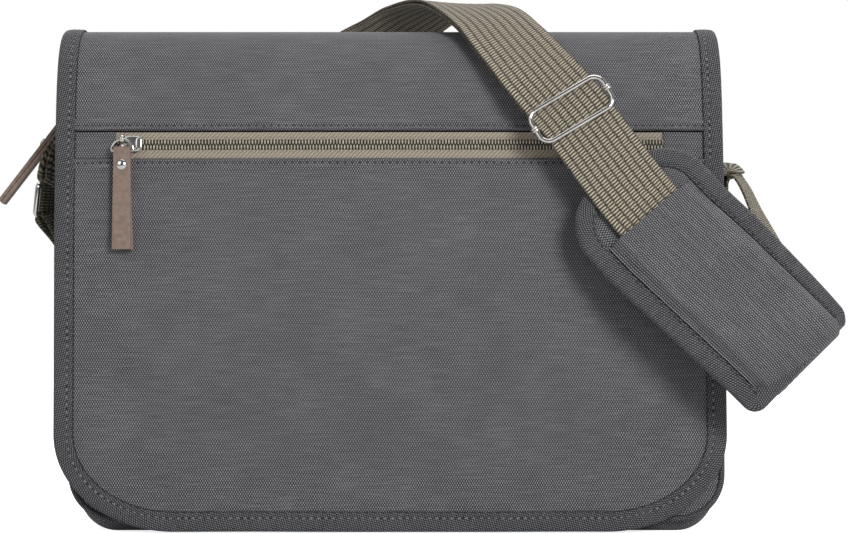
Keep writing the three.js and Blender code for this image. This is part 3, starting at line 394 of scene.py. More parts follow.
def woven_cotton(name, dark, light, turn=0.0, rows=0.0):
    """Plain weave: sin(pi u / warp) sin(pi v / weft) is high where one thread
    lies on top and low at the next. A share of sin(2 pi v / weft) joins the
    crossings into rows, as where the cloth is pulled along its threads. The
    same height sets the colour too, as painted light on the high crossings
    and painted shade in the low gaps."""
    finish = {"Roughness": 0.88, "Specular IOR Level": 0.25, "IOR": 1.5}
    finish.update({"Sheen Weight": 0.12, "Sheen Roughness": 0.5})
    material, tree, shader = new_material(name, finish)
    uv, bent = wandering_uv(tree, scale=160.0, reach=0.6 * MM)
    laid = add(tree, "ShaderNodeMapping", {"Vector": bent, "Rotation": (0, 0, turn)})
    axis = add(tree, "ShaderNodeSeparateXYZ", {0: laid})
    warp = add(
        tree, "ShaderNodeMath", {0: axis.outputs["X"], 1: math.pi / WARP_SPACING}, operation="MULTIPLY")
    weft = add(
        tree, "ShaderNodeMath", {0: axis.outputs["Y"], 1: math.pi / WEFT_SPACING}, operation="MULTIPLY")
    warp_wave = add(tree, "ShaderNodeMath", {0: warp}, operation="SINE")
    weft_wave = add(tree, "ShaderNodeMath", {0: weft}, operation="SINE")
    weave = add(tree, "ShaderNodeMath", {0: warp_wave, 1: weft_wave}, operation="MULTIPLY")
    twice = add(tree, "ShaderNodeMath", {0: weft, 1: 2.0}, operation="MULTIPLY")
    row_wave = add(tree, "ShaderNodeMath", {0: twice}, operation="SINE")
    cloth = add(tree, "ShaderNodeMix", {0: rows, 2: weave, 3: row_wave}, data_type="FLOAT")
    streak_place = add(tree, "ShaderNodeMapping", {"Vector": uv, "Scale": (60, 900, 1)})
    streak = add(tree, "ShaderNodeTexNoise", {"Vector": streak_place, "Scale": 1.0, "Detail": 3.0})
    patch = add(tree, "ShaderNodeTexNoise", {"Vector": uv, "Scale": 28.0, "Detail": 4.0})
    slub = add(tree, "ShaderNodeMapRange", {0: streak.outputs["Fac"], 1: 0.3, 2: 0.7, 3: -0.1, 4: 0.1})
    dye = add(tree, "ShaderNodeMapRange", {0: patch.outputs["Fac"], 1: 0.3, 2: 0.7, 3: -0.04, 4: 0.04})
    # The weave's height is also the tone: painted light on the crossings, painted shade in the gaps.
    lift = add(tree, "ShaderNodeMapRange", {0: cloth, 1: -0.1, 2: 0.85, 3: 0.0, 4: 1.0})
    uneven = add(tree, "ShaderNodeMath", {0: slub, 1: dye}, operation="ADD")
    tone = add(tree, "ShaderNodeMath", {0: lift, 1: uneven}, operation="ADD", use_clamp=True)
    dye_shade_and_raise(tree, shader, dark, light, tone, lift, strength=0.5, depth=0.3 * MM)
    return material


# Dyed cotton canvas, loom state: matt, with a dry dotted weave whose light dots and dark gaps are painted
# light and shade.
canvas = woven_cotton("dyed_cotton_canvas", "#303033", "#959599")
# The sleeve is cut the other way and pulled taut over the pad, so its threads stand in rows along the pad.
sleeve_canvas = woven_cotton("taut_cotton_canvas", "#2c2c2f", "#98989d", rows=0.55)
# The same canvas cut on the bias and folded into tape: the dots run at
# 45 degrees to the edge and look darker.
binding_cloth = woven_cotton("bias_cut_canvas_tape", "#232326", "#7d7d81", math.pi / 4)
print("weave:", round(WARP_SPACING / MM, 2), "by", round(WEFT_SPACING / MM, 2), "mm")

# %% [markdown]
# ## Webbing, zip tape and coil
# The strap is a thick taupe webbing: nine raised ribs run its length, and short floats of yarn
# cross each rib a little aslant. Between the ribs every second gap is pulled down into a hollow. The
# ribs are in the mesh, and the floats are bump and a colour that follows their height: painted light on
# the floats and painted shade in the hollows, which shows as dark dots. The zip tape is a fine twill,
# whose diagonal lines are a wave of u + v, and the coil teeth are bent nylon with a dull shine.

# %% Finishes as functions
WEBBING_WIDTH = 40 * MM
RIB_SPACING = WEBBING_WIDTH / 9
FLOAT_SPACING = 1.65 * MM
FLOAT_SLANT = 0.105
TWILL_SPACING = 2.4 * MM


def woven_webbing(name, dark, light):
    """Floats: a sine along the webbing, aslant on each rib. At the sides of a
    rib a second sine of half the pace leaves every other float standing. The
    height sets the colour too: painted light on the standing floats and
    painted shade in the hollows between them."""
    finish = {"Roughness": 0.8, "Specular IOR Level": 0.3, "IOR": 1.53, "Sheen Weight": 0.1}
    material, tree, shader = new_material(name, finish)
    uv, bent = wandering_uv(tree, scale=180.0, reach=0.7 * MM)
    axis = add(tree, "ShaderNodeSeparateXYZ", {0: bent})
    rib = add(
        tree, "ShaderNodeMath", {0: axis.outputs["X"], 1: 1 / RIB_SPACING, 2: 0.5},
        operation="MULTIPLY_ADD")
    part = add(tree, "ShaderNodeMath", {0: rib}, operation="FRACT")
    slant = -FLOAT_SLANT * RIB_SPACING
    place = add(tree, "ShaderNodeMath", {0: part, 1: slant, 2: axis.outputs["Y"]}, operation="MULTIPLY_ADD")
    along = add(tree, "ShaderNodeMath", {0: place, 1: 2 * math.pi / FLOAT_SPACING}, operation="MULTIPLY")
    float_wave = add(tree, "ShaderNodeMath", {0: along}, operation="SINE")
    float_lift = add(tree, "ShaderNodeMapRange", {0: float_wave, 1: -0.6, 2: 0.6, 3: 0.0, 4: 1.0})
    slow = add(tree, "ShaderNodeMath", {0: along, 1: 0.5, 2: 0.75 * math.pi}, operation="MULTIPLY_ADD")
    pair_wave = add(tree, "ShaderNodeMath", {0: slow}, operation="SINE")
    pair_lift = add(tree, "ShaderNodeMapRange", {0: pair_wave, 1: -0.4, 2: 0.6, 3: 0.0, 4: 0.5})
    turn = add(tree, "ShaderNodeMath", {0: rib, 1: math.pi}, operation="MULTIPLY")
    rib_wave = add(tree, "ShaderNodeMath", {0: turn}, operation="SINE")
    rib_size = add(tree, "ShaderNodeMath", {0: rib_wave}, operation="ABSOLUTE")
    rib_lift = add(tree, "ShaderNodeMapRange", {0: rib_size, 1: 0.15, 2: 0.6, 3: 0.0, 4: 1.0})
    kept = add(tree, "ShaderNodeMath", {0: rib_lift, 1: pair_lift}, operation="MAXIMUM")
    lift = add(tree, "ShaderNodeMath", {0: float_lift, 1: kept}, operation="MULTIPLY")
    yarn = add(tree, "ShaderNodeTexNoise", {"Vector": uv, "Scale": 900.0, "Detail": 3.0})
    uneven = add(tree, "ShaderNodeMapRange", {0: yarn.outputs["Fac"], 1: 0.3, 2: 0.7, 3: -0.2, 4: 0.2})
    tone = add(tree, "ShaderNodeMath", {0: lift, 1: uneven}, operation="ADD", use_clamp=True)
    dye_shade_and_raise(tree, shader, dark, light, tone, lift, strength=0.8, depth=0.5 * MM)
    return material


def twill_tape(name, dark, light):
    """Twill: sin(2 pi (u + v) / spacing) gives the diagonal lines of the zip tape."""
    material, tree, shader = new_material(name, {"Roughness": 0.75, "Specular IOR Level": 0.3, "IOR": 1.53})
    uv = add(tree, "ShaderNodeUVMap", uv_map="cloth")
    axis = add(tree, "ShaderNodeSeparateXYZ", {0: uv})
    both_ways = add(tree, "ShaderNodeMath", {0: axis.outputs["X"], 1: axis.outputs["Y"]}, operation="ADD")
    turns = add(
        tree, "ShaderNodeMath", {0: both_ways, 1: 2 * math.pi / TWILL_SPACING}, operation="MULTIPLY")
    wave = add(tree, "ShaderNodeMath", {0: turns}, operation="SINE")
    yarn = add(tree, "ShaderNodeTexNoise", {"Vector": uv, "Scale": 1300.0, "Detail": 2.0})
    lift = add(tree, "ShaderNodeMapRange", {0: wave, 1: -0.9, 2: 0.9, 3: 0.0, 4: 1.0})
    tone = add(tree, "ShaderNodeMix", {0: 0.5, 2: lift, 3: yarn.outputs["Fac"]}, data_type="FLOAT")
    dye_shade_and_raise(tree, shader, dark, light, tone, tone, strength=0.5, depth=0.2 * MM)
    return material


def spun_or_moulded(name, dark, light, grain, finish):
    """Colour and roughness broken up by one noise of a real grain
    size, for thread, nylon, leather and plated metal."""
    material, tree, shader = new_material(name, finish)
    place = add(tree, "ShaderNodeTexCoord")
    noise = add(
        tree, "ShaderNodeTexNoise", {"Vector": place.outputs["Object"], "Scale": 1 / grain, "Detail": 4.0})
    tone = add(tree, "ShaderNodeMapRange", {0: noise.outputs["Fac"], 1: 0.3, 2: 0.7, 3: 0.0, 4: 1.0})
    colour = add(tree, "ShaderNodeMix", {0: tone, 6: srgb(dark), 7: srgb(light)}, data_type="RGBA")
    base = finish["Roughness"]
    rough = add(
        tree, "ShaderNodeMapRange", {0: noise.outputs["Fac"], 1: 0.3, 2: 0.7, 3: base * 0.8, 4: base * 1.2})
    tree.links.new(colour.outputs[2], shader.inputs["Base Color"])
    tree.links.new(rough.outputs[0], shader.inputs["Roughness"])
    return material


print("webbing: ribs", round(RIB_SPACING / MM, 2), "mm, floats", round(FLOAT_SPACING / MM, 2), "mm")

# %% Webbing, tape, coil and thread
THREAD_FINISH = {"Roughness": 0.6, "IOR": 1.53}
# Cotton-blend webbing: dry and matt, with painted light on the floats and painted shade in the hollows.
webbing_cloth = woven_webbing("ribbed_cotton_webbing", "#322c21", "#b4ab98")
# The tabs are the same webbing in a darker olive, which paints the shade that they hang in beside the body.
shaded_tab_webbing = woven_webbing("painted_shade_tab_webbing", "#302f25", "#a49c84")
# Polyester twill tape: smoother than the canvas, with fine diagonal lines.
tape_cloth = twill_tape("polyester_twill_tape", "#645c51", "#b2a898")
# Bent nylon wire, dyed to the tape: a dull plastic shine.
coil_nylon = spun_or_moulded(
    "dyed_nylon_coil", "#857e6d", "#bdb5a2", 2 * MM, {"Roughness": 0.42, "IOR": 1.53})
# The cord inside the coil, seen only in the gaps between its turns: nearly black, as painted shade in those
# gaps.
coil_gap_shade = spun_or_moulded("painted_gap_shade_cord", "#12110e", "#1e1c18", 1 * MM, {"Roughness": 0.8, "IOR": 1.53})
# Thin black lining of the pocket, as painted shadow: it shows only as the dark line under the upper fold.
pocket_shadow_lining = spun_or_moulded(
    "painted_shadow_pocket_lining", "#070708", "#0f0f11", 1 * MM, {"Roughness": 0.9, "IOR": 1.5})
# Polyester sewing thread, a little glossier than cloth: nearly black, the grey of the canvas, and taupe. The
# nearly black one is also used as painted shade: needle holes, the binding's ditch, the sleeve's mouth and
# the fold stitches.
dark_thread_and_shade = spun_or_moulded("dark_thread_and_painted_shade", "#0d0d0e", "#17171a", 1 * MM, THREAD_FINISH)
pale_thread = spun_or_moulded("grey_sewing_thread", "#707074", "#86868a", 1 * MM, THREAD_FINISH)
taupe_thread = spun_or_moulded("taupe_sewing_thread", "#5b5444", "#7d7562", 1 * MM, THREAD_FINISH)
print("finishes so far:", len(bpy.data.materials))

# %% [markdown]
# ## Leather and nickel
# The zip pullers are strips of matt brown leather with a fine pebble, and the
# hardware is bright nickel plate. A cell pattern as fine as real pores gives
# the leather its grain, and nickel needs little more than a smooth metal.

# %% Leather and nickel
PORE = 0.9 * MM

# Full-grain leather, dyed through and matt: fine pores and a soft, slightly cloudy brown.
leather_finish = {"Roughness": 0.66, "Specular IOR Level": 0.3, "IOR": 1.48}
leather = spun_or_moulded("matt_dyed_leather", "#736258", "#87756a", 2.4 * MM, leather_finish)
leather_tree = leather.node_tree
leather_shader = leather_tree.nodes["Principled BSDF"]
leather_place = add(leather_tree, "ShaderNodeTexCoord")
pores = add(
    leather_tree, "ShaderNodeTexVoronoi", {"Vector": leather_place.outputs["Object"], "Scale": 1 / PORE})
pore_bump = add(
    leather_tree, "ShaderNodeBump",
    {"Strength": 0.25, "Distance": 0.1 * MM, "Height": pores.outputs["Distance"]})
leather_tree.links.new(pore_bump.outputs[0], leather_shader.inputs["Normal"])
# Bright nickel plate on steel wire: a mirror with a faint warm grey and a few soft smears.
nickel = spun_or_moulded(
    "bright_nickel_plate", "#cfcdc9", "#e0deda", 6 * MM, {"Roughness": 0.1, "Metallic": 1.0})
print("leather pores:", round(PORE / MM, 2), "mm")

# %% [markdown]
# ## Body
# Under the flap is a hollow bag: a front and a back panel, a gusset that runs down
# one side, along the base and up the other, and two bands over the top that carry the
# main zip. Piping covers both seams. The seam outline is a rounded rectangle, the
# panels lean in towards the top, and each wall swells a little between its seams.

# %% Seam outline and walls
CANVAS = 1.6 * MM
SEAM = 1.9 * MM
BODY_HALF_WIDTH = 177.4 * MM
SEAM_BOTTOM = 7.3 * MM
SEAM_TOP = 258 * MM
BOTTOM_CORNER = 24 * MM
TOP_CORNER = 26 * MM
BODY_FOOT = 43 * MM
FRONT_LEAN = 21 * MM
BACK_LEAN = 11 * MM
BASE_SWELL = 6.5 * MM
SIDE_SWELL = -2.5 * MM
TOP_SWELL = 4 * MM
FULL_SHARE = 0.82
SWELL_SHARES = [0, FULL_SHARE, 0.93, 1]
SWELL_PARTS = [1, 1, 0.55, 0]
ZIP_END_HEIGHT = 214 * MM


def front_y(z):
    """Depth of the front panel's plane: it leans back by the square of the height."""
    return -BODY_FOOT + FRONT_LEAN * (z / SEAM_TOP) ** 2


def back_y(z):
    """Depth of the back panel's plane."""
    return BODY_FOOT - BACK_LEAN * (z / SEAM_TOP) ** 2


def straight(x0, z0, x1, z1, steps=40):
    """Rows of x, z and the outward normal along a straight stretch of the seam."""
    t = np.linspace(0, 1, steps + 1)
    size = math.hypot(x1 - x0, z1 - z0)
    normal = np.full((steps + 1, 2), [(z1 - z0) / size, (x0 - x1) / size])
    return np.column_stack([x0 + (x1 - x0) * t, z0 + (z1 - z0) * t, normal])


def corner(cx, cz, radius, first, last, steps=18):
    """The same rows round a corner, from one angle to another in degrees."""
    angle = np.radians(np.linspace(first, last, steps + 1))
    normal = np.column_stack([np.cos(angle), np.sin(angle)])
    return np.column_stack([cx + radius * normal[:, 0], cz + radius * normal[:, 1], normal])


inner_low, low = BODY_HALF_WIDTH - BOTTOM_CORNER, SEAM_BOTTOM + BOTTOM_CORNER
inner_high, high = BODY_HALF_WIDTH - TOP_CORNER, SEAM_TOP - TOP_CORNER
lower_run = np.vstack([
    straight(-BODY_HALF_WIDTH, ZIP_END_HEIGHT, -BODY_HALF_WIDTH, low)[:-1],
    corner(-inner_low, low, BOTTOM_CORNER, 180, 270)[:-1],
    straight(-inner_low, SEAM_BOTTOM, inner_low, SEAM_BOTTOM, 80)[:-1],
    corner(inner_low, low, BOTTOM_CORNER, 270, 360)[:-1],
    straight(BODY_HALF_WIDTH, low, BODY_HALF_WIDTH, ZIP_END_HEIGHT),
])
upper_run = np.vstack([
    straight(BODY_HALF_WIDTH, ZIP_END_HEIGHT, BODY_HALF_WIDTH, high, 8)[:-1],
    corner(inner_high, high, TOP_CORNER, 0, 90)[:-1],
    straight(inner_high, SEAM_TOP, -inner_high, SEAM_TOP, 80)[:-1],
    corner(-inner_high, high, TOP_CORNER, 90, 180)[:-1],
    straight(-BODY_HALF_WIDTH, high, -BODY_HALF_WIDTH, ZIP_END_HEIGHT, 8),
])
seam_outline = np.vstack([lower_run[:-1], upper_run[:-1]])


def wall(run, share, out):
    """A point of the gusset: share goes from the front seam at -1 to the back seam at 1, and out is
    along the normal, added to a swell that is full in the middle of the depth and gone at the seams."""
    x, z, nx, nz = np.moveaxis(np.asarray(run), -1, 0)
    swell = SIDE_SWELL + (np.where(nz > 0, TOP_SWELL, BASE_SWELL) - SIDE_SWELL) * nz ** 2
    offset = swell * np.interp(np.abs(share), SWELL_SHARES, SWELL_PARTS) + out
    y = front_y(z) + SEAM + (back_y(z) - front_y(z) - 2 * SEAM) * (share + 1) / 2
    return together(x + nx * offset, y, z + nz * offset)


def wall_length(run):
    """Length along the wall's middle line, from 0 at the first row of a run."""
    return run_of(wall(run, np.zeros(1), np.zeros(1)))


def wall_band(run, shares, low_out, high_out):
    """A closed strip of the wall: along its outer face through the
    shares, and back along its inner face."""
    share = there_and_back(shares)
    out = np.concatenate([np.full(len(shares), high_out), np.full(len(shares), low_out)])
    points = wall(run[:, None], share[None], out[None])
    u = share * BODY_FOOT
    return grid(points, together(u, wall_length(run)[:, None]))


print("seam outline:", len(seam_outline), "points")

# %% Panels, gusset and bands
FRONT_CROWN = 5.5 * MM
BACK_CROWN = 3 * MM
PIPING_RADIUS = 1.6 * MM
ZIP_BAND_SHARE = 0.3
PANEL_RINGS = 26
SEAM_SHARES = np.array([0.875, 0.93, 0.965, 1])


def panel(depth, crown):
    """A panel as rings scaled down from its seam to its middle: depth of its plane plus a cosine crown."""
    x, z, nx, nz = (seam_outline[:, k] for k in range(4))
    middle = (SEAM_BOTTOM + SEAM_TOP) / 2
    size = there_and_back(np.linspace(0.01, 1, PANEL_RINGS))[:, None]
    side = np.repeat([0.5, -0.5], PANEL_RINGS)[:, None] * CANVAS * np.sign(crown)
    ring_x = size * (x - nx * SEAM)
    ring_z = middle + size * (z - nz * SEAM - middle)
    ring_y = depth(ring_z) + side + crown * (0.5 + 0.5 * np.cos(np.pi * size))
    points = np.stack([ring_x, ring_y, ring_z], -1)
    uv = np.stack([ring_x, ring_z], -1)
    return grid(points, uv)


def piping(depth):
    """A cord in a folded tape, all round a seam."""
    x, z, nx, nz = (seam_outline[:, k, None] for k in range(4))
    a, b = ring_section(PIPING_RADIUS, 12).T
    points = together(x + nx * a, depth(z) + b, z + nz * a)
    return grid(points, ring=True)


def canvas_band(name, run, shares):
    """A band of the wall in canvas, which stands for the node of its name."""
    strip = wall_band(run, shares, -CANVAS / 2, CANVAS / 2)
    return piece(name + "_cloth", [strip], canvas, "canvas", [name])


rim = np.concatenate([-SEAM_SHARES[::-1], np.linspace(-FULL_SHARE, FULL_SHARE, 21), SEAM_SHARES])
front_panel = piece("front_panel_cloth", [panel(front_y, -FRONT_CROWN)], canvas, "canvas", ["front_panel"])
back_panel = piece("back_panel_cloth", [panel(back_y, BACK_CROWN)], canvas, "canvas", ["back_panel"])
gusset = canvas_band("gusset", lower_run, rim)
band = np.concatenate([np.linspace(ZIP_BAND_SHARE, FULL_SHARE, 8), SEAM_SHARES])
back_band = canvas_band("zip_band_back", upper_run, band)
front_band = canvas_band("zip_band_front", upper_run, -band)
piece("piping_front_cord", [piping(front_y)], binding_cloth, "binding", ["piping_front"])
piece("piping_back_cord", [piping(back_y)], binding_cloth, "binding", ["piping_back"])

# %% [markdown]
# ## Zips
# Both zips are nylon coils sewn to twill tape. A coil seen from above is two rows of short bars that
# meet in the middle, so one small bar is made once and copied along both rows. The main zip runs over
# the top of the body and down both sides; the pocket zip crosses the flap between two folded edges.

# %% Main zip
TAPE = 1 * MM
TAPE_OUT = 0.2 * MM
TAPE_SHARE = 0.285
COIL_PITCH = 1.705 * MM
COIL_BAR = 3.1 * MM
COIL_WIRE = 0.46 * MM
COIL_BOW = 0.45 * MM
COIL_MEETS = 0.1 * MM
CORD_INSET = 0.3 * MM
CORD_RISE = 0.35 * MM
CORD_SINK = 0.2 * MM
ZIP_MARGIN = 1 * MM


def coil(surface, first, last, out):
    """Two rows of bars: at every pitch along a, one bar on each side of b = 0, half a step apart."""
    bar = grain_of_thread(COIL_BAR, COIL_WIRE, COIL_BOW, sides=8, steps=7)
    rows = []
    for side in (-1, 1):
        a = np.arange(first, last, COIL_PITCH) + (side + 1) * COIL_PITCH / 4
        b = np.full(len(a), side * (COIL_BAR / 2 - COIL_MEETS))
        origin, along, across, normal = surface_frame(surface, a, b)
        rows.append(scatter(bar, origin + normal * out, across, -along, normal))
    return rows


def cord(surface, first, last, out):
    """The dark strip that paints the shade between the turns of a coil: a low
    arch across the zip, carried along it."""
    a = np.linspace(first, last, 120)[:, None]
    share = np.linspace(-1, 1, 9)
    b = there_and_back(share) * (COIL_BAR - CORD_INSET)
    rise = np.concatenate([CORD_RISE * (1 - share ** 2), np.full(len(share), -CORD_SINK)])
    a, b = np.broadcast_arrays(a, b)
    origin, _, _, normal = surface_frame(surface, a, b)
    return grid(origin + normal * (out + rise)[:, None])


upper_length = wall_length(upper_run)
half_depth = (back_y(SEAM_TOP) - front_y(SEAM_TOP)) / 2


def zip_wall(a, b):
    """The wall's outer face by length along the upper run and distance in front of its middle line."""
    row = np.stack([np.interp(a, upper_length, upper_run[:, k]) for k in range(4)], -1)
    return wall(row, -b / half_depth, np.full(np.shape(a), TAPE_OUT))


tape_shares = np.linspace(-TAPE_SHARE, TAPE_SHARE, 9)
main_tape = wall_band(upper_run, tape_shares, TAPE_OUT - TAPE, TAPE_OUT)
piece("main_zip_twill", [main_tape], tape_cloth, "zip_tape", ["main_zip_tape"])
zip_end = upper_length[-1] - ZIP_MARGIN
main_coil = coil(zip_wall, ZIP_MARGIN, zip_end, out=0.5 * MM)
piece("main_zip_coil", main_coil, coil_nylon, "zip_chain", ["main_zip_chain"])
# A nearly black strip under the coil paints the shade between its turns.
main_gap_shade = cord(zip_wall, ZIP_MARGIN, zip_end, out=0.2 * MM)
piece("main_zip_gap_shade", [main_gap_shade], coil_gap_shade, "zip_chain")

# %% [markdown]
# ## Flap
# The flap is one long sheet, sewn to the back, laid over the top and hung down the front to the floor.
# Its side profile is a smooth curve through a few points, and a point of the flap is u across, s along
# that curve and h out of it, with a slight crown where the full bag pushes it out. The zipped pocket
# cuts it into an upper and a lower panel, whose edges fold back with a round bend and a row of stitches.

# %% Flap surface
FLAP_PROFILE = np.array([
    [0.0359, 0.238],  # back seam
    [0.036, 0.254],  # back rise
    [0.0334, 0.2635],  # back shoulder
    [0.021, 0.2715],  # back roll
    [0, 0.2758],  # crown
    [-0.019, 0.271],  # front roll
    [-0.0295, 0.261],  # front shoulder
    [-0.036, 0.246],  # brow
    [-0.0413, 0.214],  # zip
    [-0.046, 0.161],  # face
    [-0.0488, 0.08],  # low face
    [-0.05, 0.0009],  # hem
])
FLAP_SHIFT = -3.2 * MM
FLAP_HALF_WIDTH = 183 * MM
FLAP = 2 * MM
FLAP_CROWN = 4 * MM
FLAP_CROWN_START = 80 * MM
FLAP_DRAW = 2.1 * MM
FLAP_SEAM_HALF = 171 * MM
FLAP_BINDING_START = 20 * MM
HEM_ACROSS = 66 * MM
HEM_UP = 53 * MM
SHEET_INSET = 1.2 * MM
WINDOW_TOP_HEIGHT = 218.8 * MM
WINDOW_BOTTOM_HEIGHT = 203.5 * MM
RIPPLE = 0.7 * MM
RIPPLE_LONG, RIPPLE_SHORT, RIPPLE_DOWN = 170 * MM, 90 * MM, 200 * MM
RIPPLE_START, RIPPLE_FULL = 15 * MM, 90 * MM


def catmull(knots, t):
    """Centripetal Catmull-Rom curve through the rows of knots, at t from 0 to 1: a cubic between two
    knots, whose end slopes come from the neighbours, spaced by the square root of their distances."""
    rows = np.vstack([2 * knots[0] - knots[1], knots, 2 * knots[-1] - knots[-2]])
    place = np.clip(t, 0, 1) * (len(knots) - 1)
    i = np.minimum(place.astype(int), len(knots) - 2)
    p = [rows[i + k] for k in range(4)]
    gaps = [np.sqrt(np.linalg.norm(p[k + 1] - p[k], axis=-1, keepdims=True)) for k in range(3)]
    d1 = np.where(gaps[1] < 1e-4, 1, gaps[1])
    d0 = np.where(gaps[0] < 1e-4, d1, gaps[0])
    d2 = np.where(gaps[2] < 1e-4, d1, gaps[2])
    m1 = ((p[1] - p[0]) / d0 - (p[2] - p[0]) / (d0 + d1) + (p[2] - p[1]) / d1) * d1
    m2 = ((p[2] - p[1]) / d1 - (p[3] - p[1]) / (d1 + d2) + (p[3] - p[2]) / d2) * d1
    x = (place - i)[..., None]
    return p[1] + x * (m1 + x * (3 * (p[2] - p[1]) - 2 * m1 - m2 + x * (2 * (p[1] - p[2]) + m1 + m2)))


flap_curve = catmull(FLAP_PROFILE, np.linspace(0, 1, 4001))
flap_run = run_of(flap_curve)
FLAP_LENGTH = flap_run[-1]
flap_slope = unit(np.gradient(flap_curve, axis=0))


def flap_length_at(height):
    """Length along the profile at which its front comes down to a height."""
    front = flap_run > FLAP_CROWN_START
    return np.interp(-height, -flap_curve[front, 1], flap_run[front])


WINDOW_TOP = flap_length_at(WINDOW_TOP_HEIGHT)
WINDOW_BOTTOM = flap_length_at(WINDOW_BOTTOM_HEIGHT)
HEM_START = FLAP_LENGTH - HEM_UP


def ripple(u, s):
    """Soft waves of cloth that hangs free, below the pocket only: a
    long and a short sine wave, both aslant."""
    free = smooth(s - WINDOW_BOTTOM, RIPPLE_START, RIPPLE_FULL)
    first = np.sin(2 * np.pi * (u / RIPPLE_LONG + 0.6 * s / RIPPLE_DOWN) + 0.8)
    second = np.sin(2 * np.pi * (u / RIPPLE_SHORT - 0.4 * s / RIPPLE_DOWN) + 2.1)
    return RIPPLE * free * (first + 0.5 * second)


def flap_point(u, s, h):
    """A point of the flap: u across, s along the profile, h out of its middle, plus the
    crown and the ripple. The right edge draws in towards the top, where the strap pulls."""
    y, z = (np.interp(s, flap_run, flap_curve[:, k]) for k in range(2))
    slope_y, slope_z = (np.interp(s, flap_run, flap_slope[:, k]) for k in range(2))
    down = np.clip((s - FLAP_CROWN_START) / (FLAP_LENGTH - FLAP_CROWN_START), 0, 1)
    out = h + FLAP_CROWN * np.sin(np.pi * down) ** 2 * (1 - (u / FLAP_HALF_WIDTH) ** 2) + ripple(u, s)
    x = FLAP_SHIFT + u - FLAP_DRAW * np.maximum(u / FLAP_HALF_WIDTH, 0) * (1 - down)
    return together(x, y + slope_z * out, z - slope_y * out)


print("flap:", round(FLAP_LENGTH / MM, 1), "mm from seam to hem")

# %% Flap panels
FOLD_STITCH = 2.6 * MM
FOLD_LAP = 7 * MM
FOLD_START = 1.7 * MM
FOLD_RISE = 0.9 * MM
FOLD_GROOVE = 0.6 * MM
FOLD_GROOVE_HALF = 0.8 * MM
shares = np.linspace(-1, 1, 97)
sheet_half = FLAP_HALF_WIDTH - SHEET_INSET
turns = np.linspace(0, np.pi / 2, 25)


def fold_lift(s, edge):
    """Extra height near a folded edge: the cloth is double there, and
    the stitches pull it down in a groove."""
    away = np.abs(s - edge)
    lap = FOLD_RISE * (1 - smooth(away, FOLD_LAP - 2 * MM, FOLD_LAP))
    return lap - FOLD_GROOVE * np.exp(-((away - FOLD_STITCH) / FOLD_GROOVE_HALF) ** 2)


def folded_sheet(half_widths, s, edge, towards):
    """A closed sheet whose first row is a round folded edge: along its outer face,
    round the fold and back inside. towards is 1 where the fold looks to smaller s."""
    bend = np.linspace(-np.pi / 2, np.pi / 2, 9)[1:-1]
    lift = FLAP / 2 + fold_lift(s, edge)
    radius = lift[0]
    fold_s = s[0] + towards * radius * (1 - np.cos(bend)) - towards * radius
    fold_h = -radius * np.sin(bend) + (lift[0] - FLAP / 2) / 2
    loop_s = np.concatenate([s[::-1], fold_s, s])
    loop_h = np.concatenate([lift[::-1], fold_h, np.full(len(s), -FLAP / 2)])
    loop_u = np.concatenate([half_widths[::-1], np.full(len(bend), half_widths[0]), half_widths])
    u = shares[:, None] * loop_u[None]
    return grid(flap_point(u, loop_s, loop_h), together(u, loop_s))


near_low = WINDOW_BOTTOM + FOLD_START + np.linspace(0, FOLD_LAP + 2 * MM, 19)
side_low = np.linspace(near_low[-1], HEM_START, 60)[1:-1]
hem_s = HEM_START + (HEM_UP - SHEET_INSET) * np.sin(turns)
hem_u = FLAP_HALF_WIDTH - HEM_ACROSS + (HEM_ACROSS - SHEET_INSET) * np.cos(turns)
lower_s = np.concatenate([near_low, side_low, hem_s])
lower_u = np.concatenate([np.full(len(near_low) + len(side_low), sheet_half), hem_u])
lower_sheet = folded_sheet(lower_u, lower_s, WINDOW_BOTTOM, 1)
flap_lower = piece("flap_lower_cloth", [lower_sheet], canvas, "canvas", ["flap_lower_panel"])

near_high = WINDOW_TOP - FOLD_START - np.linspace(0, FOLD_LAP + 2 * MM, 19)
side_high = np.linspace(near_high[-1], FLAP_BINDING_START, 70)[1:]
seam_s = np.linspace(FLAP_BINDING_START - 0.3 * MM, 0, 8)
upper_s = np.concatenate([near_high, side_high, seam_s])
upper_u = np.where(upper_s >= FLAP_BINDING_START, sheet_half, FLAP_SEAM_HALF)
upper_sheet = folded_sheet(upper_u, upper_s, WINDOW_TOP, -1)
flap_upper = piece("flap_upper_cloth", [upper_sheet], canvas, "canvas", ["flap_upper_panel"])

# %% [markdown]
# ## Flap binding
# A bias tape folds over the flap's raw edge, from the back seam down one side, round
# the hem and up the other. Its section is a long U: a round nose at the edge and two
# lips, the upper one puffed between the nose and the stitch line. That section is
# carried along the edge, which turns through an ellipse at each hem corner.

# %% Flap binding
BINDING = 0.9 * MM
BINDING_WIDTH = 10.6 * MM
STITCH_INSET = 7.6 * MM
FLAP_TAPE_HALF = FLAP / 2 + 0.3 * MM
FLAP_PUFF = 0.28 * MM
GROOVE_HALF = 0.9 * MM
GROOVE_SHARE = 1.6
BINDING_PITCH = 4 * MM
DITCH_PITCH = 1.5 * MM


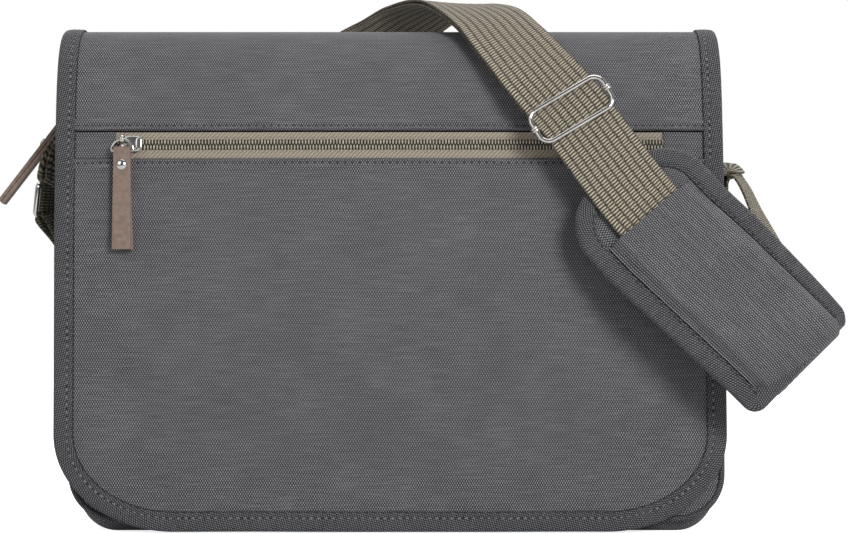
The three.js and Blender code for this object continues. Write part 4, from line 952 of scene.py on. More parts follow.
def bound_section(high_lip, low_lip, half, puff, stitch):
    """Closed U section in (a, h), a measured in from the edge: low lip, round
    nose and high lip outside, then the same way back inside. puff lifts the
    high lip between the nose and the stitch, which lies in a groove."""
    nose = half + BINDING
    bend = np.linspace(-np.pi / 2, np.pi / 2, 13)

    def course(size):
        """One face of the tape: low lip, half a circle round the nose, and high lip."""
        low_a = np.linspace(low_lip, nose, 10)[:-1]
        high_a = np.linspace(nose, high_lip, 22)[1:]
        a = np.concatenate([low_a, nose - size * np.cos(bend), high_a])
        h = np.concatenate([np.full(len(low_a), -size), size * np.sin(bend), np.full(len(high_a), size)])
        return np.column_stack([a, h])

    outside, inside = course(nose), course(half)
    a, h = outside.T
    upper = h > nose * 0.99
    crown = np.sin(np.pi * np.clip((a - nose) / (high_lip - nose), 0, 1))
    groove = np.exp(-((a - stitch) / GROOVE_HALF) ** 2)
    outside[:, 1] = h + upper * puff * (crown - GROOVE_SHARE * groove)
    return np.vstack([outside, inside[::-1]])


def slope_of(path, ring):
    """Differences along a path, from neighbour to neighbour, across its ends too where it is a ring."""
    return np.roll(path, -1, 0) - np.roll(path, 1, 0) if ring else np.gradient(path, axis=0)


def along_edge(edge, section):
    """Carries a section along an edge: each point goes a inwards along the edge's own normal,
    and h out. An edge is its u, its s, the surface that it lies on, and whether it is a ring."""
    edge_u, edge_s, place, ring = edge
    slope_u, slope_s = slope_of(edge_u, ring), slope_of(edge_s, ring)
    size = np.hypot(slope_u, slope_s)
    in_u, in_s = -slope_s / size, slope_u / size
    a, h = section.T
    u = edge_u[:, None] + in_u[:, None] * a
    s = edge_s[:, None] + in_s[:, None] * a
    return place(u, s, np.broadcast_to(h, u.shape))


def edge_line(edge, inset):
    """A line along an edge, an inset inside it, as a function of the height over the surface."""
    return lambda h: along_edge(edge, np.array([[inset, h]]))[:, 0]


def half_edge():
    """The right half of the flap's edge: down its side, round the hem
    corner and along the hem to the middle."""
    side = np.linspace(FLAP_BINDING_START, HEM_START, 130)
    fine = np.linspace(0, np.pi / 2, 49)[1:]
    around = FLAP_HALF_WIDTH - HEM_ACROSS * (1 - np.cos(fine))
    bottom = np.linspace(FLAP_HALF_WIDTH - HEM_ACROSS, 0, 46)[1:]
    u = np.concatenate([np.full(len(side), FLAP_HALF_WIDTH), around, bottom])
    s = np.concatenate([side, HEM_START + HEM_UP * np.sin(fine), np.full(len(bottom), FLAP_LENGTH)])
    return u, s


right_u, right_s = half_edge()
both_u = np.concatenate([right_u, -right_u[-2::-1]])
both_s = np.concatenate([right_s, right_s[-2::-1]])
flap_edge = (both_u, both_s, flap_point, False)
flap_tape = bound_section(BINDING_WIDTH, BINDING_WIDTH, FLAP_TAPE_HALF, FLAP_PUFF, STITCH_INSET)
bound_edge = grid(along_edge(flap_edge, flap_tape))
piece("flap_binding_tape", [bound_edge], binding_cloth, "binding", ["flap_binding"])

seam_line = edge_line(flap_edge, STITCH_INSET)
seam_height = FLAP_TAPE_HALF + BINDING - 0.05 * MM
pale_row = sewn(seam_line, seam_height, pitch=BINDING_PITCH, length=1.8 * MM, radius=0.4 * MM)
# Short nearly black stitches between the grey ones are painted shade for the needle holes.
hole_shade_row = sewn(seam_line, seam_height, pitch=BINDING_PITCH, length=1.3 * MM, radius=0.36 * MM, first=1)
piece("flap_binding_stitches", [pale_row], pale_thread, "binding")
piece("flap_binding_needle_hole_shade", [hole_shade_row], dark_thread_and_shade, "binding")
# A dense row of nearly black stitches in the ditch paints the shadow line along the binding's inner edge.
ditch_line = edge_line(flap_edge, BINDING_WIDTH + 0.25 * MM)
ditch_shade_row = sewn(ditch_line, FLAP / 2 + 0.35 * MM, pitch=DITCH_PITCH, length=1.8 * MM, radius=0.36 * MM)
piece("flap_binding_ditch_shade_line", [ditch_shade_row], dark_thread_and_shade, "binding")

# %% [markdown]
# ## Pocket zip
# Behind the window lies the twill tape with its coil. Short canvas tabs cover
# the ends of the zip, and a row of stitches runs along each folded edge, nearly black as painted shade for
# their holes.

# %% Pocket zip, tabs and fold stitches
CHAIN_END = 149.5 * MM
GAP = 0.3 * MM
ZIP_SINK = 0.7 * MM
SHADOW_LINING_SHOWS = 0.8 * MM
COIL_EDGE = 4.1 * MM
TAB_RISE, TAB_NOSE, TAB_HEM, TAB_SINK = 0.3 * MM, 1.2 * MM, 0.5 * MM, 0.4 * MM
zip_middle = (WINDOW_TOP + WINDOW_BOTTOM) / 2


def flap_strip(columns, s, h):
    """A closed strip across the flap: rows at the columns, section given by s and h."""
    return grid(flap_point(columns[:, None], s, h), together(columns[:, None], s))


# The tape starts a little below the upper fold, so that the black strip shows there as a painted shadow line.
tape_s = np.linspace(WINDOW_TOP + SHADOW_LINING_SHOWS, WINDOW_BOTTOM - GAP, 13)
columns = np.linspace(-sheet_half, sheet_half, 97)
loop_s = there_and_back(tape_s)
loop_h = np.repeat([-ZIP_SINK, -ZIP_SINK - TAPE], len(tape_s))
piece("front_zip_twill", [flap_strip(columns, loop_s, loop_h)], tape_cloth, "zip_tape", ["front_zip_tape"])
# A nearly black strip behind the upper fold paints its shadow line.
shadow_lining_s = WINDOW_TOP + np.array([-1, 0, 0.8, 1.6, 1.6, 0.8, 0, -1]) * MM
shadow_lining_h = -ZIP_SINK - TAPE - np.repeat([0.05, 0.35], 4) * MM
piece("front_pocket_shadow_lining", [flap_strip(columns, shadow_lining_s, shadow_lining_h)], pocket_shadow_lining, "canvas")


def zip_face(a, b):
    """The pocket tape's face by distance across the flap and from the zip's middle line."""
    return flap_point(a, zip_middle - b, np.zeros(np.shape(a)))


front_coil = coil(zip_face, -CHAIN_END, CHAIN_END, out=0.75 * MM - ZIP_SINK)
piece("front_zip_coil", front_coil, coil_nylon, "zip_chain", ["front_zip_chain"])
# A nearly black strip under the coil paints the shade between its turns.
front_gap_shade = cord(zip_face, -CHAIN_END, CHAIN_END, out=0.25 * MM - ZIP_SINK)
piece("front_zip_gap_shade", [front_gap_shade], coil_gap_shade, "zip_chain")
coil_edges = []
for side in (-1, 1):
    line_u = np.linspace(-CHAIN_END, CHAIN_END, 400)
    line, _, _, normal = surface_frame(zip_face, line_u, np.full(len(line_u), side * COIL_EDGE))
    line = line + normal * (0.1 * MM - ZIP_SINK)
    coil_edges.append(stitches(line, normal, pitch=COIL_PITCH, length=0.9 * MM, radius=0.25 * MM))
piece("front_zip_coil_stitches", coil_edges, taupe_thread, "zip_tape")

tab_inner, tab_outer = CHAIN_END + GAP, FLAP_HALF_WIDTH - BINDING_WIDTH - GAP
for name, sign in (("zip_tab_right", 1), ("zip_tab_left", -1)):
    tab_u = sign * np.linspace(tab_inner, tab_outer, 24)
    from_fold = np.linspace(0, 24 * MM, 24)
    thick = TAB_RISE * np.sqrt(np.clip((from_fold + 0.2 * MM) / TAB_NOSE, 0, 1))
    thick = thick + TAB_HEM * (1 - smooth(from_fold, 3 * MM, 6 * MM)) * np.minimum(from_fold / MM, 1)
    outer_h = np.repeat(thick[:, None], len(tape_s), 1)
    tab_h = np.concatenate([outer_h, np.full(outer_h.shape, -TAB_SINK)], 1)
    tab_cover = grid(flap_point(tab_u[:, None], loop_s, tab_h), together(tab_u[:, None], loop_s))
    piece(name + "_cloth", [tab_cover], canvas, "canvas", [name])

# Real stitches, nearly black as painted shade in their holes.
fold_stitch_and_shade_rows = []
for edge, way in ((WINDOW_TOP, -1), (WINDOW_BOTTOM, 1)):
    line_u = np.linspace(-FLAP_HALF_WIDTH + BINDING_WIDTH, FLAP_HALF_WIDTH - BINDING_WIDTH, 400)
    line_s = np.full(len(line_u), edge + way * FOLD_STITCH)
    lift = FLAP / 2 + fold_lift(line_s, edge) + 0.1 * MM
    fold_line = lambda h: flap_point(line_u, line_s, h)
    fold_stitch_and_shade_rows.append(sewn(fold_line, lift, pitch=4.05 * MM, length=1.9 * MM, radius=0.46 * MM))
piece("flap_fold_stitches_and_hole_shade", fold_stitch_and_shade_rows, dark_thread_and_shade, "canvas")

# %% [markdown]
# ## Sliders and pullers
# Each slider is a small plated plate with side rails and an arched bail, and its puller is
# a D-ring, a strip of leather folded over the ring's straight side, and a rivet through
# both layers. The pullers swing on their hinge lines, so they ride on bodies of their own.

# %% Wires and plates
def wire(path, plane, section, ring=False):
    """Carries a section along a flat path: its first direction lies in
    the plane of the path, its second across."""
    side = np.cross(unit(slope_of(path, ring)), plane)
    a, b = section.T
    points = path[:, None] + side[:, None] * a[:, None] + np.asarray(plane)[None, None] * b[:, None]
    return grid(points, ring=ring)


def rounded(corners, cuts=3):
    """A closed outline with its corners cut again and again, which ends as a smooth curve."""
    for _ in range(cuts):
        following = np.roll(corners, -1, 0)
        pairs = np.stack([0.75 * corners + 0.25 * following, 0.25 * corners + 0.75 * following], 1)
        corners = pairs.reshape(-1, corners.shape[1])
    return corners


def plate(half_x, half_y, low_z, high_z, centre=(0, 0), edge=0.35 * MM, sides=40):
    """A plate with a rounded outline, |x|^3 + |y|^3 = 1, and a soft
    upper edge: rings from middle to middle."""
    circle = ring_section(1, sides)
    x, y = (np.sign(circle) * np.abs(circle) ** (2 / 3)).T
    scale = np.array([0.01, 0.6, 0.86, 0.95, 1, 1, 0.01])[:, None]
    upper = high_z - edge * np.array([0, 0, 0.15, 0.4, 1])
    z = np.concatenate([upper, [low_z, low_z]])[:, None]
    return grid(together(centre[0] + scale * half_x * x, centre[1] + scale * half_y * y, z))


def lathe(radius, along, sides=28):
    """Turns a profile of radius and height round the z axis."""
    x, y = ring_section(1, sides).T
    return grid(together(radius[:, None] * x, radius[:, None] * y, along[:, None]))


def placed(part, origin, x_axis, y_axis, z_axis):
    """A part moved from its own axes to an origin and three unit axes of the frame."""
    points, quads, corners = part
    axes = np.array([x_axis, y_axis, z_axis], float)
    return np.asarray(origin) + points @ axes, quads, corners


print("rounded square:", len(rounded(np.array([[1, 1], [-1, 1], [-1, -1], [1, -1]]))), "points")

# %% Sliders
SLIDER_HALF, SLIDER_HALF_WIDTH = 6 * MM, 4.2 * MM
SLIDER_LOW, SLIDER_TOP, RAIL_INSIDE = 2 * MM, 3.2 * MM, 3.4 * MM
BAIL_HOLE, BAIL_WALL, BAIL_WIDTH, BAIL_AXIS = 1.5 * MM, 0.9 * MM, 2.4 * MM, 6.8 * MM


def slider(bail_along, bail_across, hole_along_zip):
    """Slider parts with x along the zip and z out of the tape: plate,
    two rails, a raised bridge and the bail."""
    parts = [plate(SLIDER_HALF, SLIDER_HALF_WIDTH, SLIDER_LOW, SLIDER_TOP)]
    rail_half = (SLIDER_HALF_WIDTH - RAIL_INSIDE) / 2
    for side in (-1, 1):
        middle = side * (SLIDER_HALF_WIDTH - rail_half)
        rail = plate(
            half_x=4 * MM, half_y=rail_half, low_z=0.3 * MM, high_z=2.4 * MM, centre=(-1.5 * MM, middle))
        parts.append(rail)
    bridge_low, bridge_high = SLIDER_TOP - 0.2 * MM, SLIDER_TOP + 0.9 * MM
    parts.append(
        plate(half_x=1.7 * MM, half_y=3.3 * MM, low_z=bridge_low, high_z=bridge_high, centre=(4 * MM, 0)))
    radius = BAIL_HOLE + BAIL_WALL / 2
    angle = np.linspace(0, np.pi, 17)
    legs = np.linspace(SLIDER_TOP - 0.3 * MM, BAIL_AXIS, 5)[:-1]
    leg = np.full(len(legs), radius)
    across = np.concatenate([leg, radius * np.cos(angle), -leg])
    up = np.concatenate([legs, BAIL_AXIS + radius * np.sin(angle), legs[::-1]])
    section = ring_section(BAIL_WALL / 2, 12, BAIL_WIDTH / BAIL_WALL)
    zero = np.zeros(len(up))
    flat_path = [zero, across, up] if hole_along_zip else [across, zero, up]
    plane = (1, 0, 0) if hole_along_zip else (0, 1, 0)
    points, quads, corners = wire(np.stack(flat_path, -1), np.array(plane, float), section)
    parts.append((points + [bail_along, bail_across, 0], quads, corners))
    return parts


hinges = {joint["child"]: np.array(joint["pos_m"], float) for joint in frame["joints"]}
front_hinge, main_hinge = hinges["front_puller"], hinges["main_puller"]
SLIDER_U = -141 * MM
front_frame = surface_frame(zip_face, np.array([SLIDER_U]), np.zeros(1))
seat, zip_along, zip_up, zip_out = (rows[0] for rows in front_frame)
front_slider = slider(bail_along=-4.5 * MM, bail_across=1.8 * MM, hole_along_zip=True)
front_parts = [placed(part, seat, zip_along, zip_up, zip_out) for part in front_slider]
piece("front_zip_slider_body", front_parts, nickel, "nickel", ["front_zip_slider"])
main_seat = main_hinge + [BAIL_AXIS, 0, 0]
main_slider = slider(bail_along=0, bail_across=0, hole_along_zip=False)
main_parts = [placed(part, main_seat, (0, 0, 1), (0, 1, 0), (-1, 0, 0)) for part in main_slider]
piece("main_zip_slider_body", main_parts, nickel, "nickel", ["main_zip_slider"])

# %% Pullers
RING_HALF, RING_DROP, RING_WIRE = 6 * MM, 6.4 * MM, 0.7 * MM
FRONT_THICK, MAIN_THICK, LEATHER_TOP, LEATHER_FOOT = 1.5 * MM, 2 * MM, 9.2 * MM, 10.2 * MM
LEATHER_TAPER = 7 * MM
SKIVE_START, SKIVE = 0.88, 0.15
FRONT_RIVET, MAIN_RIVET = 14 * MM, 26.5 * MM
LEATHER_SLIP = 1.3 * MM
FRONT_LEATHER, MAIN_LEATHER = 56 * MM, 64.5 * MM
RIVET_HEAD, RIVET_DOME, RIVET_BRIM, RIVET_SHANK = 3 * MM, 1.3 * MM, 0.25 * MM, 1.3 * MM
WASHER, WASHER_THICK = 2.4 * MM, 0.6 * MM
FRONT_PRESS, MAIN_LEAN = math.radians(3.8), math.radians(37.5)


def puller_ring():
    """A D-ring that hangs from its top: half an ellipse closed by a
    straight bar, with its corners rounded."""
    angle = np.linspace(0, np.pi, 25)
    arc = np.stack([RING_HALF * np.cos(angle), RING_DROP * (np.sin(angle) - 1)], -1)
    outline = rounded(arc, 2)
    path = np.column_stack([outline[:, 0], np.zeros(len(outline)), outline[:, 1]])
    return wire(path, np.array([0, 1.0, 0]), ring_section(RING_WIRE, 12), ring=True)


def puller_leather(length, thick):
    """A strip folded over the ring's bar: two flat layers that close in under a round bend. The section
    is carried across the width, and thins at both cut edges, where the leather is skived. The back
    layer slips to one side by the square of its way down, so its edge shows beside the front one."""
    near, around = GAP / 2, RING_WIRE + GAP
    end = -RING_DROP - length + around + thick
    angle = np.linspace(0, np.pi, 17)
    neck = np.linspace(0, 1, 7)[1:-1]
    flat_z = np.linspace(end, -RING_DROP - LEATHER_TAPER, 24)

    def course(offset, reach):
        """One face of the strip: up one layer, round the bend and down the other."""
        neck_y = offset + (reach - offset) * smooth(neck, 0, 1)
        neck_z = -RING_DROP - LEATHER_TAPER + LEATHER_TAPER * neck
        right = np.column_stack([np.full(len(flat_z), offset), flat_z])
        rise = np.column_stack([neck_y, neck_z])
        bend = np.column_stack([reach * np.cos(angle), -RING_DROP + reach * np.sin(angle)])
        mirror = np.array([-1, 1])
        return np.vstack([right, rise, bend, rise[::-1] * mirror, right[::-1] * mirror])

    outside = course(near + thick, around + thick)
    inside = course(near, around)
    share = np.array([-1, -0.985, -0.95, -0.88, -0.6, -0.3, 0, 0.3, 0.6, 0.88, 0.95, 0.985, 1])
    near_cut = np.clip((np.abs(share) - SKIVE_START) / (1 - SKIVE_START), 0, 1)
    full = 1 - SKIVE + SKIVE * np.sqrt(1 - near_cut ** 2)
    loop = np.vstack([outside, inside[::-1]])
    middle = (outside + inside) / 2
    middle = np.vstack([middle, middle[::-1]])
    section = middle[None] + (loop - middle)[None] * full[:, None, None]
    width = np.interp(section[..., 1], [end, -RING_DROP], [LEATHER_FOOT, LEATHER_TOP])
    fall = np.interp(section[..., 1], [end, -RING_DROP], [1, 0])
    slip = LEATHER_SLIP * fall ** 2 * (section[..., 0] > 0)
    return grid(np.stack([share[:, None] * width / 2 + slip, section[..., 0], section[..., 1]], -1))


def puller_rivet(down, thick):
    """A domed head in front, a shank through both layers and a flat
    washer behind, turned round one axis."""
    face = GAP / 2 + thick + 0.02 * MM
    foot = -face - WASHER_THICK
    angle = np.linspace(np.pi / 2 - 0.01, 0, 9)
    dome = face + RIVET_BRIM + RIVET_DOME * np.sin(angle)
    radius = np.concatenate(
        [RIVET_HEAD * np.cos(angle), [RIVET_HEAD, RIVET_SHANK, RIVET_SHANK, WASHER, WASHER, 1e-5]])
    along = np.concatenate([dome, [face, face, -face, -face, foot, foot]])
    points, quads, corners = lathe(radius, along)
    return np.stack([points[:, 0], -points[:, 2], points[:, 1] - down], -1), quads, corners


def hang_puller(name, length, thick, rivet_down, hinge, bar, up):
    """Places a puller's three pieces at its hinge point, with the
    hinge line along bar and the leather against up."""
    axes = (bar, np.cross(up, bar), up)
    for node, end, part, material, slot in (
            ("_ring", "_wire", puller_ring(), nickel, "nickel"),
            ("_leather", "_strip", puller_leather(length, thick), leather, "leather"),
            ("_rivet", "_head", puller_rivet(rivet_down, thick), nickel, "nickel")):
        piece(name + node + end, [placed(part, hinge, *axes)], material, slot, [name + node], name)


front_up = unit(zip_up * math.cos(FRONT_PRESS) + zip_out * math.sin(FRONT_PRESS))
main_up = np.array([math.sin(MAIN_LEAN), 0, math.cos(MAIN_LEAN)])
hang_puller("front_puller", FRONT_LEATHER, FRONT_THICK, FRONT_RIVET, front_hinge, zip_along, front_up)
main_bar = np.array([0, -1.0, 0])
hang_puller("main_puller", MAIN_LEATHER, MAIN_THICK, MAIN_RIVET, main_hinge, main_bar, main_up)

# %% [markdown]
# ## Strap
# One length of webbing makes the strap. It is sewn round the right ring, arches and falls
# behind the pad, turns under it, comes up through the pad's sleeve to the adjuster, goes
# over the top of the bag and down the back to the left ring, and returns as a second
# layer to the adjuster's bar. The route is a smooth curve through chosen points, each
# with the way that the outer face looks, and a ribbed section is carried along it.

# %% Strap route
STRAP_ROUTE = np.array([
    [0.1806, 0, 0.187, 1, 0, 0],  # right ring
    [0.1812, 0, 0.192, 0.97, 0, -0.25],  # right lead
    [0.1832, 0, 0.1966, 0.76, 0.1, -0.64],  # right rise
    [0.1874, -0.0004, 0.1992, -0.16, 0.2, -0.96],  # right arch
    [0.1936, -0.002, 0.1942, -0.78, 0.22, -0.59],  # right fall
    [0.2016, -0.0065, 0.178, -0.86, 0.27, -0.43],  # right leg
    [0.21, -0.014, 0.1554, -0.79, 0.44, -0.42],  # behind pad
    [0.2166, -0.029, 0.1281, -0.23, 0.77, -0.6],  # low leg
    [0.2195, -0.051, 0.1033, 0.66, 0.42, -0.62],  # turn in
    [0.2191, -0.072, 0.0939, 0.73, -0.03, -0.69],  # turn low
    [0.2129, -0.086, 0.0979, 0.41, -0.72, -0.56],  # turn out
    [0.204, -0.09, 0.1066, 0.08, -0.99, -0.12],  # pad foot
    [0.167, -0.087, 0.1415, -0.05, -0.99, 0.05],  # pad middle
    [0.1352, -0.076, 0.1727, -0.1, -0.95, 0.25],  # pad mouth
    [0.0945, -0.061, 0.228, -0.12, -0.95, 0.25],  # adjuster
    [0.078, -0.053, 0.248, -0.1, -0.88, 0.42],  # front fall
    [0.062, -0.038, 0.268, -0.08, -0.7, 0.7],  # front bend
    [0.049, -0.02, 0.283, -0.06, -0.42, 0.9],  # front arch
    [0.028, 0.01, 0.2925, 0, 0.06, 1],  # arch top
    [0.007, 0.036, 0.286, -0.1, 0.55, 0.82],  # back arch
    [-0.014, 0.053, 0.2725, -0.15, 0.82, 0.55],  # back bend
    [-0.048, 0.062, 0.254, -0.08, 0.97, 0.25],  # back fall
    [-0.098, 0.062, 0.235, 0, 1, 0.05],  # back run
    [-0.148, 0.057, 0.225, -0.22, 0.97, 0.05],  # back end
    [-0.1805, 0.044, 0.217, -0.55, 0.8, 0.25],  # back edge
    [-0.1842, 0.026, 0.2115, -0.78, 0.55, 0.3],  # left side
    [-0.1882, 0.008, 0.2045, -0.87, 0.42, 0.25],  # left rise
    [-0.189, 0.0016, 0.1975, -0.9, 0.42, 0.1],  # left lead
    [-0.1895, 0, 0.1905, -0.9, 0.42, 0.1],  # left ring
])
PAD_MOUTH_ROW = 13
ADJUSTER_ROW = 14


class Route:
    """A path through rows of a point and a facing: at(s) gives point,
    way along, outer face and way across."""

    def __init__(self, rows):
        self.rows = np.asarray(rows, float)
        self.t = np.linspace(0, 1, 6001)
        self.run = run_of(catmull(self.rows[:, :3], self.t))
        self.length = self.run[-1]

    def length_at(self, row):
        """Length along the path at one of its rows."""
        return np.interp(row / (len(self.rows) - 1), self.t, self.run)

    def at(self, s):
        """Point, way along by a small difference, facing squared to it, and the way across both."""
        t = np.interp(s, self.run, self.t)
        step = 2e-4
        along = unit(catmull(self.rows[:, :3], t + step) - catmull(self.rows[:, :3], t - step))
        face = catmull(self.rows[:, 3:], t)
        face = unit(face - along * np.sum(face * along, -1, keepdims=True))
        return catmull(self.rows[:, :3], t), along, face, np.cross(along, face)

    def surface(self, w, s, h):
        """A point w across, s along and h out of the middle line."""
        point, _, face, across = self.at(s)
        return point + across * np.asarray(w)[..., None] + face * np.asarray(h)[..., None]


strap = Route(STRAP_ROUTE)
pad_mouth = strap.length_at(PAD_MOUTH_ROW)
adjuster_at = strap.length_at(ADJUSTER_ROW)
print("strap route:", round(strap.length / MM, 1), "mm, adjuster at", round(adjuster_at / MM, 1))

# %% Webbing
WEBBING = 1.6 * MM
TAB_WIDTH = 38 * MM
WEBBING_STEP = 2 * MM
RING_WIRE_RADIUS = 1.5 * MM
RING_OFFSET = RING_WIRE_RADIUS + 0.45 * MM + WEBBING / 2
LAYER_OFFSET = 1.1 * MM
RING_REACH = 16 * MM
RIGHT_FOLD = 20 * MM
BAR_BELOW = 2 * MM
ADJUSTER_REACH = 14 * MM
ADJUSTER_HUMP = 1.7 * MM
ADJUSTER_FOLD = 24 * MM
FOLD_OFFSET = -3.4 * MM
RIB_SHARP = 75


def layer(route, start, end, offset, side):
    """Stations of one layer of webbing: point, face and across, moved
    off the route's middle line by offset(s)."""
    s = np.linspace(start, end, max(3, int(abs(end - start) / WEBBING_STEP) + 1))
    point, _, face, across = route.at(s)
    return point + face * offset(s)[:, None], face * side, across


def turn_round(centre, start, far, across, radius, side):
    """Half a turn round a bar: centre + radius (cos start + sin far),
    from beside the bar to its other side."""
    angle = np.linspace(0, np.pi, 15)[1:-1, None]
    out = np.cos(angle) * start + np.sin(angle) * far
    return centre + radius * out, out * side, np.broadcast_to(across, out.shape)


def ribbon(stations, width):
    """A ribbed section along stations: both faces rise in one arch for
    each rib, |sin|, and meet at thin edges."""
    point, face, across = (np.concatenate(rows) for rows in zip(*stations))
    ribs = round(width / RIB_SPACING)
    w = np.linspace(-width / 2, width / 2, ribs * 4 + 1)
    arch = np.abs(np.sin(np.pi * ribs * (w / width + 0.5)))
    half = WEBBING / 2 * (0.6 + 0.4 * arch ** 0.7)
    loop_w = there_and_back(w)
    loop_h = np.concatenate([half, -half])
    points = point[:, None] + across[:, None] * loop_w[:, None] + face[:, None] * loop_h[:, None]
    v = run_of(point)
    ribs_u = (loop_w / width + 0.5) * ribs * RIB_SPACING - RIB_SPACING / 2
    return grid(points, together(ribs_u, v[:, None]))


def opened(s):
    """Half the space between two layers: wide at the rings at both ends, and closed between them."""
    closed = smooth(np.minimum(s, strap.length - s), 0, RING_REACH)
    return RING_OFFSET + (LAYER_OFFSET - RING_OFFSET) * closed


def raised(s):
    """A hump of height 1 where the webbing passes over the adjuster's bar."""
    return np.cos(np.pi / 2 * np.minimum(np.abs(s - adjuster_at) / ADJUSTER_REACH, 1)) ** 2


def under(s):
    """The folded end below the bar, drawn up to the other layers."""
    low = -BAR_BELOW - RING_OFFSET
    return low + (FOLD_OFFSET - low) * smooth(s - adjuster_at, 0, ADJUSTER_REACH)


right, right_along, right_face, right_across = strap.at(np.array(0.0))
left, left_along, left_face, left_across = strap.at(np.array(strap.length))
bar, bar_along, bar_face, bar_across = strap.at(np.array(adjuster_at))
bar_centre = bar - BAR_BELOW * bar_face
strap_stations = [
    layer(strap, RIGHT_FOLD, 0, lambda s: -opened(s), -1),
    turn_round(right, -right_face, -right_along, right_across, RING_OFFSET, 1),
    layer(strap, 0, strap.length, lambda s: opened(s) + ADJUSTER_HUMP * raised(s), 1),
    turn_round(left, left_face, left_along, left_across, RING_OFFSET, 1),
    layer(strap, strap.length, adjuster_at, lambda s: -opened(s) + (ADJUSTER_HUMP + GAP / 2) * raised(s), -1),
    turn_round(bar_centre, bar_face, -bar_along, bar_across, RING_OFFSET, -1),
    layer(strap, adjuster_at, adjuster_at + ADJUSTER_FOLD, under, 1),
]
strap_ribbon = ribbon(strap_stations, WEBBING_WIDTH)
piece(
    "strap_ribbed_webbing", [strap_ribbon], webbing_cloth, "strap_webbing", ["strap_webbing"],
    sharp=RIB_SHARP)

# %% [markdown]
# ## Tabs and rings
# A short tab of the same webbing is sewn to each side of the body and folded
# round the lower bar of a wire ring. The strap's ends pass round the upper bars.

# %% Tabs and rings
LEFT_TAB_ROUTE = [
    [-0.1782, 0, 0.104, -1, 0, 0],  # sewn end
    [-0.1782, 0, 0.128, -1, 0, 0],  # last stitch
    [-0.1802, 0, 0.146, -0.98, 0.1, -0.15],  # lift
    [-0.1855, 0.0003, 0.161, -0.9, 0.3, -0.3],  # bend
    [-0.1913, 0.00085, 0.1735, -0.88, 0.41, -0.2],  # ring
]
RIGHT_TAB_ROUTE = [
    [0.1782, 0, 0.104, 1, 0, 0],  # sewn end
    [0.1782, 0, 0.128, 1, 0, 0],  # last stitch
    [0.1783, 0, 0.15, 1, 0, 0],  # rise
    [0.1796, 0, 0.17, 1, 0, 0],  # ring
]
RING_HALF_LENGTH = 22.4 * MM
RING_CORNER = 2.2 * MM
LEFT_RING_TURN = math.radians(-25)
TAB_STITCH_INSET, TAB_STITCH_RISE = 3 * MM, 22 * MM


def rounded_rectangle(half_x, half_y, radius, steps=9):
    """A closed outline: four quarter circles joined by straight sides."""
    angle = np.linspace(0, np.pi / 2, steps)
    quarter = np.stack([np.cos(angle), np.sin(angle)], -1) * radius + [half_x - radius, half_y - radius]
    corners = [quarter, quarter[::-1] * [-1, 1], -quarter, quarter[::-1] * [1, -1]]
    return np.vstack(corners)


def strap_tab(name, rows):
    """Both layers of a tab, the turn round its ring, and two rows of
    stitches with a cross line at the sewn end."""
    route = Route(rows)

    def apart(s):
        """Half the space between the two layers, which opens towards the ring."""
        closed = (WEBBING + GAP) / 2
        return closed + (RING_OFFSET - closed) * smooth(s, route.length - RING_REACH, route.length)

    end, along, face, across = route.at(np.array(route.length))
    stations = [
        layer(route, 0, route.length, apart, 1),
        turn_round(end, face, along, across, RING_OFFSET, 1),
        layer(route, route.length, 0, lambda s: -apart(s), -1),
    ]
    piece(
        name + "_webbing", [ribbon(stations, TAB_WIDTH)], shaded_tab_webbing, "tab_webbing", [name], sharp=RIB_SHARP)
    top = WEBBING + GAP / 2 + 0.05 * MM
    inset = TAB_WIDTH / 2 - TAB_STITCH_INSET
    foot, head = TAB_STITCH_INSET, TAB_STITCH_RISE
    corners = [(-inset, foot), (inset, foot), (inset, head), (-inset, head), (-inset, foot), (inset, head)]
    rows_of_thread = []
    for (w0, s0), (w1, s1) in zip(corners, corners[1:]):
        t = np.linspace(0, 1, 40)
        w, s = w0 + (w1 - w0) * t, s0 + (s1 - s0) * t
        tab_line = lambda h: route.surface(w, s, h)
        rows_of_thread.append(sewn(tab_line, top, pitch=3.4 * MM, length=2.4 * MM, radius=0.33 * MM))
    piece(name + "_stitches", rows_of_thread, taupe_thread, "tab_webbing")


def strap_ring(name, top, bottom, turn):
    """A rectangular wire ring through the middles of its two long
    bars, which are turned from Y by an angle."""
    top, bottom = np.array(top), np.array(bottom)
    along = np.array([-math.sin(turn), math.cos(turn), 0])
    up = unit(top - bottom)
    outline = rounded_rectangle(RING_HALF_LENGTH, np.linalg.norm(top - bottom) / 2, RING_CORNER)
    path = (top + bottom) / 2 + outline[:, :1] * along + outline[:, 1:] * up
    part = wire(path, unit(np.cross(along, up)), ring_section(RING_WIRE_RADIUS, 16), ring=True)
    piece(name + "_wire", [part], nickel, "nickel", [name])


strap_tab("strap_tab_left", LEFT_TAB_ROUTE)
strap_tab("strap_tab_right", RIGHT_TAB_ROUTE)
# The loose end of the left tab stands up inside the ring, from one loop to the other.
ring_low, ring_high = np.array(LEFT_TAB_ROUTE[-1][:3]), STRAP_ROUTE[-1, :3]
ring_share = np.linspace(0.03, 0.97, 9)[:, None]
end_points = ring_low + (ring_high - ring_low) * ring_share
end_across = np.broadcast_to([-math.sin(LEFT_RING_TURN), math.cos(LEFT_RING_TURN), 0], end_points.shape)
end_face = np.cross(unit(ring_high - ring_low), end_across)
loose_end = ribbon([(end_points, end_face, end_across)], TAB_WIDTH)
piece("strap_tab_left_end", [loose_end], shaded_tab_webbing, "tab_webbing")
strap_ring("strap_ring_left", STRAP_ROUTE[-1, :3], LEFT_TAB_ROUTE[-1][:3], LEFT_RING_TURN)
strap_ring("strap_ring_right", STRAP_ROUTE[0, :3], RIGHT_TAB_ROUTE[-1][:3], 0)

